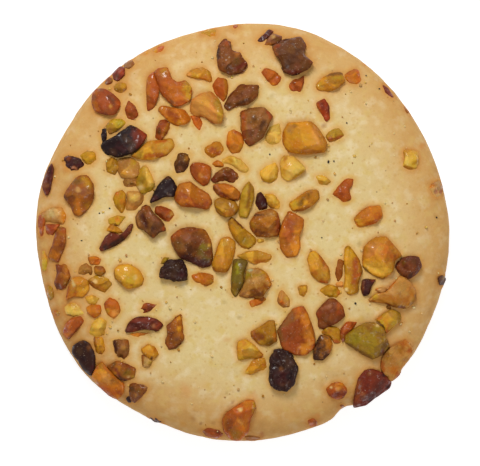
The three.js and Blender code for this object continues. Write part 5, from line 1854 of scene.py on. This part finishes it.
            (spot(Tint.TEAK, 5.8, 32.5), spot(Tint.TAN, 5.1, 33, 0.3),
            streak(Tint.TOFFEE, 4, 31.6, 5.6, 31.9, 0.3)), 0.8),
        Chip(Tint.OCHRE, (-27.4, 13.1, -26.2, 13.8, -24.9, 13.7, -24.5, 12.5, -25.5, 11.4, -26.6, 11.8),
            (spot(Tint.HONEY, -25.3, 13),), 0.8),
        Chip(Tint.OCHRE, (-22.9, 11.8, -22.2, 12.8, -20.9, 12.3, -20.7, 11, -21.4, 9.8, -22.7, 10.3),
            (spot(Tint.BRONZE, -21.3, 10.4),), 0.9),
        Chip(Tint.MUSTARD, (13.8, 16.3, 14.8, 17.4, 16.2, 17.7, 17, 16.4, 16.2, 15.7, 14.4, 15.3),
            (streak(Tint.SIENNA, 14.3, 15.7, 16.8, 16, 0.35),), 0.8),
        Chip(Tint.OLIVE, (-13.9, -5.2, -13.2, -4, -12.2, -4, -13, -5), (), 0.6),
        Chip(Tint.STRAW, (3.6, 6.6, 5, 6.6, 6.3, 5.3, 6.2, 3.9, 5.4, 4, 4.2, 4.6, 3.9, 5.7),
            (spot(Tint.OCHRE, 4.8, 5, 0.45), spot(Tint.HONEY, 5.8, 4.7, 0.45)), 0.9),
        Chip(Tint.CARAMEL, (-24.8, -5.5, -23.4, -5.5, -22.9, -6.5, -23.7, -7.1, -24.9, -6.7),
            (streak(Tint.BRONZE, -24.7, -6.7, -23.2, -6.8, 0.3),), 0.7),
        Chip(Tint.OCHRE, (-25.9, -7.7, -24.5, -6.9, -22.6, -7.4, -21.9, -8.5, -23.1, -9.9, -24.8, -9.2,
            -25.9, -8.3), (spot(Tint.TAN, -25.2, -7.6, 0.4),
            # Painted highlight: the sand spot at -24.7, -8 is a glint of the light.
            streak(Tint.CARAMEL, -25.6, -8.4, -23.3, -9.6, 0.4), spot(Tint.SAND, -24.7, -8, 0.3)), 0.9),
        Chip(Tint.OCHRE, (12.8, -9.5, 14.3, -8.5, 15.8, -8.9, 16.6, -9.9, 15.6, -10.9, 13.7, -10.5),
            (spot(Tint.HONEY, 13.1, -9.5, 0.35), spot(Tint.RUSSET, 16, -10, 0.4),
            spot(Tint.STRAW, 14.9, -8.7, 0.4)), 0.8),
    ),
    "raisin_black": (
        Chip(Tint.WINE, (20, -7.6, 21.4, -7.5, 22.4, -7.7, 21.6, -8.9, 21, -10.2, 20.2, -10.5,
            19.7, -9.2), (streak(Tint.DATE, 20, -8, 19.9, -9.8, 0.3), spot(Tint.COFFEE, 21.2, -8.9),
            spot(Tint.PLUM, 21.8, -7.8, 0.35)), 0.9),
        Chip(Tint.UMBER, (32.7, -7.4, 33.6, -7, 34.3, -7.6, 33.9, -8.7, 33, -8.8),
            (spot(Tint.COFFEE, 33.6, -8.5, 0.4), spot(Tint.OLIVE, 33.8, -7.4, 0.3)), 0.7),
        Chip(Tint.PRUNE, (-19.7, -27.8, -19.1, -27.2, -18.7, -28.3, -19.3, -28.5), (), 0.5),
    ),
    "skin_maroon": (
        Chip(Tint.MAROON, (2.2, 32.3, 3.3, 33.3, 4.3, 34.3, 5.2, 34, 4.3, 33, 3.4, 32, 2.6, 32),
            (spot(Tint.CHESTNUT, 5, 34, 0.3), streak(Tint.WINE, 2.6, 32.2, 3.6, 32.8, 0.3)), 0.5),
        Chip(Tint.COAL, (-23.7, 17.6, -22.9, 17.8, -22.8, 16, -23.3, 15, -23.8, 16.2), (), 0.5),
        Chip(Tint.WINE, (2.3, 6.5, 3, 7, 4, 5.5, 4, 4.2, 2.7, 3.9, 2.1, 5), (spot(Tint.UMBER, 3.2, 4.3),
            spot(Tint.GRAPE, 2.8, 5.8, 0.4, 0.5)), 0.8),
    ),
    "walnut_brown": (
        Chip(Tint.OXBLOOD, (-21.9, 26.9, -20.8, 28.2, -19.9, 28, -19.8, 26.8, -21, 25.6, -21.8, 25.9),
            (spot(Tint.BARK, -21.2, 26.3, 0.4), spot(Tint.BRICK, -20.6, 27.2, 0.4)), 1),
        Chip(Tint.WINE, (-30, 12.8, -28.7, 13.2, -27.2, 12.5, -26.5, 11.6, -27.5, 10.6, -29.2, 10.5,
            -29.9, 11.4), (spot(Tint.CHESTNUT, -29.4, 12.6), spot(Tint.COFFEE, -28, 12.1),
            streak(Tint.ROSE_GLINT, -28.6, 11, -27.9, 10.9, 0.22)), 1),
        Chip(Tint.RUST, (-13, 19.1, -12, 18.4, -12.7, 16.7, -13.8, 15.5, -14.7, 15.9, -14.5, 17.7,
            -13.9, 18.9), (spot(Tint.UMBER, -14.1, 16.9),
            streak(Tint.CARAMEL, -12.5, 18.2, -13.3, 16.4, 0.35)), 1),
        Chip(Tint.UMBER, (-11, 13.5, -9.9, 13.6, -8.9, 13.4, -8.8, 12, -9.9, 10.2, -11.2, 10,
            -11.6, 11.8), (streak(Tint.UMBER, -11.2, 12.7, -11.2, 11, 0.45),
            spot(Tint.FAWN, -9.3, 12.7, 0.4), spot(Tint.MAUVE, -10.5, 10.6, 0.45)), 1.1),
        Chip(Tint.FAWN, (-20.2, 8.9, -19.1, 9.7, -17.6, 9.4, -17.3, 8, -18.7, 7.5, -19.9, 7.9),
            (spot(Tint.TEAK, -18.5, 8.3, 0.4),), 0.6),
        Chip(Tint.DATE, (-5.4, 9, -4.4, 10.3, -2.7, 11.3, -1.6, 11, -0.6, 9.5, -1.6, 8.5, -3.4, 8.6,
            -4.8, 8.4), (spot(Tint.BARK, -2.6, 8.8), spot(Tint.OXBLOOD, -5, 9.1, 0.4),
            streak(Tint.MOCHA, -3.8, 10.4, -2.4, 11, 0.35), spot(Tint.TOFFEE, -1, 9.6, 0.4)), 1.1),
        Chip(Tint.CHESTNUT, (-31.5, -5.2, -29.5, -5.1, -28.9, -7.3, -29.7, -9, -31.2, -9.7, -31.7, -8.3,
            -31.3, -6.6), (streak(Tint.CARAMEL, -29.6, -5.8, -29.7, -7.4, 0.6),
            spot(Tint.DATE, -31.1, -9), spot(Tint.BRONZE, -29.7, -8.3, 0.4)), 1),
        Chip(Tint.FAWN, (-27.4, -5.6, -26.2, -4.9, -25.1, -5.6, -25.3, -7, -26.3, -6.9, -27.5, -6.8),
            (spot(Tint.BRONZE, -25.7, -6.8, 0.35),), 0.7),
        Chip(Tint.MOCHA, (-21.9, -18, -20.4, -17.7, -19.2, -17.8, -19, -20, -20, -21.2, -21.3, -20.6),
            (streak(Tint.WINE, -21.5, -18.2, -21.4, -19.6, 0.35), spot(Tint.FAWN, -20, -19.1, 0.4),
            spot(Tint.UMBER, -20.4, -20.6, 0.45), spot(Tint.CHESTNUT, -19.4, -18.2, 0.4)), 1),
        Chip(Tint.WALNUT, (-18.9, -25.3, -17.2, -25, -15.9, -25.9, -16.7, -27.1, -18.1, -28.6,
            -18.9, -28, -19.2, -26.5), (spot(Tint.UMBER, -18.7, -26.1, 0.4),
            spot(Tint.TEAK, -17.4, -26.4), spot(Tint.FAWN, -16.4, -25.5, 0.3),
            spot(Tint.FAWN, -17.9, -27.2, 0.35)), 0.9),
        Chip(Tint.BARK, (-16, -30.9, -14.7, -30.9, -13.4, -31.8, -14.8, -31.9), (), 0.4),
    ),
}

STAINS: tuple[Mark, ...] = (
    spot(Tint.STRAW, 14, 10.4, 0.6, 0.5), spot(Tint.GOLD, 17.1, 5, 0.6, 0.4),
    spot(Tint.ORANGE, 20.4, 28.5, 0.5, 0.4), spot(Tint.ORANGE, 30.2, 14.8, 0.5, 0.5),
    spot(Tint.OCHRE, 32.5, 2.7, 0.5, 0.5), spot(Tint.TOFFEE, 13.5, 18.1, 0.4, 0.5),
    spot(Tint.OLIVE, 19.4, -1.7, 0.4, 0.4), spot(Tint.TAN, 14.9, -5, 0.5, 0.6),
    spot(Tint.OLIVE, 3.9, -1.1, 0.3, 0.6), spot(Tint.OLIVE, 4.8, 22.9, 0.4, 0.3),
    spot(Tint.HONEY, 33.2, -6.4, 0.5, 0.6), spot(Tint.BUTTER, 19.8, -14.2, 0.5, 0.6),
    spot(Tint.OLIVE, -3, -11.4, 0.4, 0.3), spot(Tint.OLIVE, -0.6, -14, 0.3, 0.5),
    spot(Tint.ORANGE, 1.7, -27.2, 0.7, 0.35), spot(Tint.OLIVE, -2.7, -26.7, 0.25, 0.5),
    spot(Tint.TOFFEE, -1.7, -28.3, 0.25, 0.6), spot(Tint.STRAW, -5.9, -25.4, 0.6, 0.4),
    spot(Tint.STRAW, -3.7, -27.7, 0.6, 0.4), spot(Tint.FAWN, -4.9, -31.8, 0.4, 0.5),
    spot(Tint.TERRACOTTA, 3.3, -33.8, 0.4, 0.5), spot(Tint.APRICOT, -9.5, -26.3, 1, 0.4),
    spot(Tint.STRAW, -11, -23.7, 0.7, 0.3), spot(Tint.FAWN, -8.2, -31.1, 0.4, 0.6),
    spot(Tint.HONEY, -10.2, -32.3, 0.5, 0.6), spot(Tint.MOCHA, -7.1, -31.9, 0.25, 0.7),
    spot(Tint.APRICOT, -2.8, -17.8, 0.5, 0.5), spot(Tint.ORANGE, 12.6, -30.7, 0.4, 0.6),
)

SPECKS: tuple[tuple[float, float, float], ...] = (
    (4.5, 13.2, 0.18), (14.3, 12, 0.26), (15.2, 12.1, 0.15), (18.8, -11.7, 0.26), (13.2, -0.7, 0.14),
    (-22.3, 4.2, 0.14), (-24, 3.4, 0.12), (-27, -1.2, 0.14), (32.5, 2.7, 0.16), (17.4, 18.5, 0.16),
    (20.7, 26.5, 0.14), (22.9, 24.3, 0.16), (-27.4, -7.4, 0.14),
)


# ---- Main --------------------------------------------------------------------------------------


def surface_of(pieces: Iterable[bpy.types.Object]) -> BVHTree:
    """Return one search tree over the faces of all these pieces."""
    corners: list[Vector] = []
    faces: list[tuple[int, ...]] = []
    for piece in pieces:
        start = len(corners)
        corners.extend(vertex.co.copy() for vertex in piece.data.vertices)
        faces.extend(tuple(start + i for i in face.vertices) for face in piece.data.polygons)
    return BVHTree.FromPolygons(corners, faces)


def main() -> None:
    """Build the rusk on its frame and set up the studio."""
    logging.basicConfig(level=logging.INFO, format="%(name)s: %(message)s")
    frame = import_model()
    noise.seed_set(NOISE_SEED)
    slots = {part["node"]: part["material_slot"] for part in frame["record"]["subparts"]}
    materials = {name: finish.material() for name, finish in FINISHES.items()}
    form = BiscuitForm.from_node(frame["nodes"]["biscuit"])

    toppings = LargeToppings(form, slots, LARGE, materials).build()
    toppings += SmallToppings(form, SMALL, materials).build()
    Dough(form, surface_of(toppings), DoughFinish().material(), STAINS).build()
    Crumbs(form, materials, SPECKS).build()
    Studio().build()


if __name__ == "__main__":
    main()
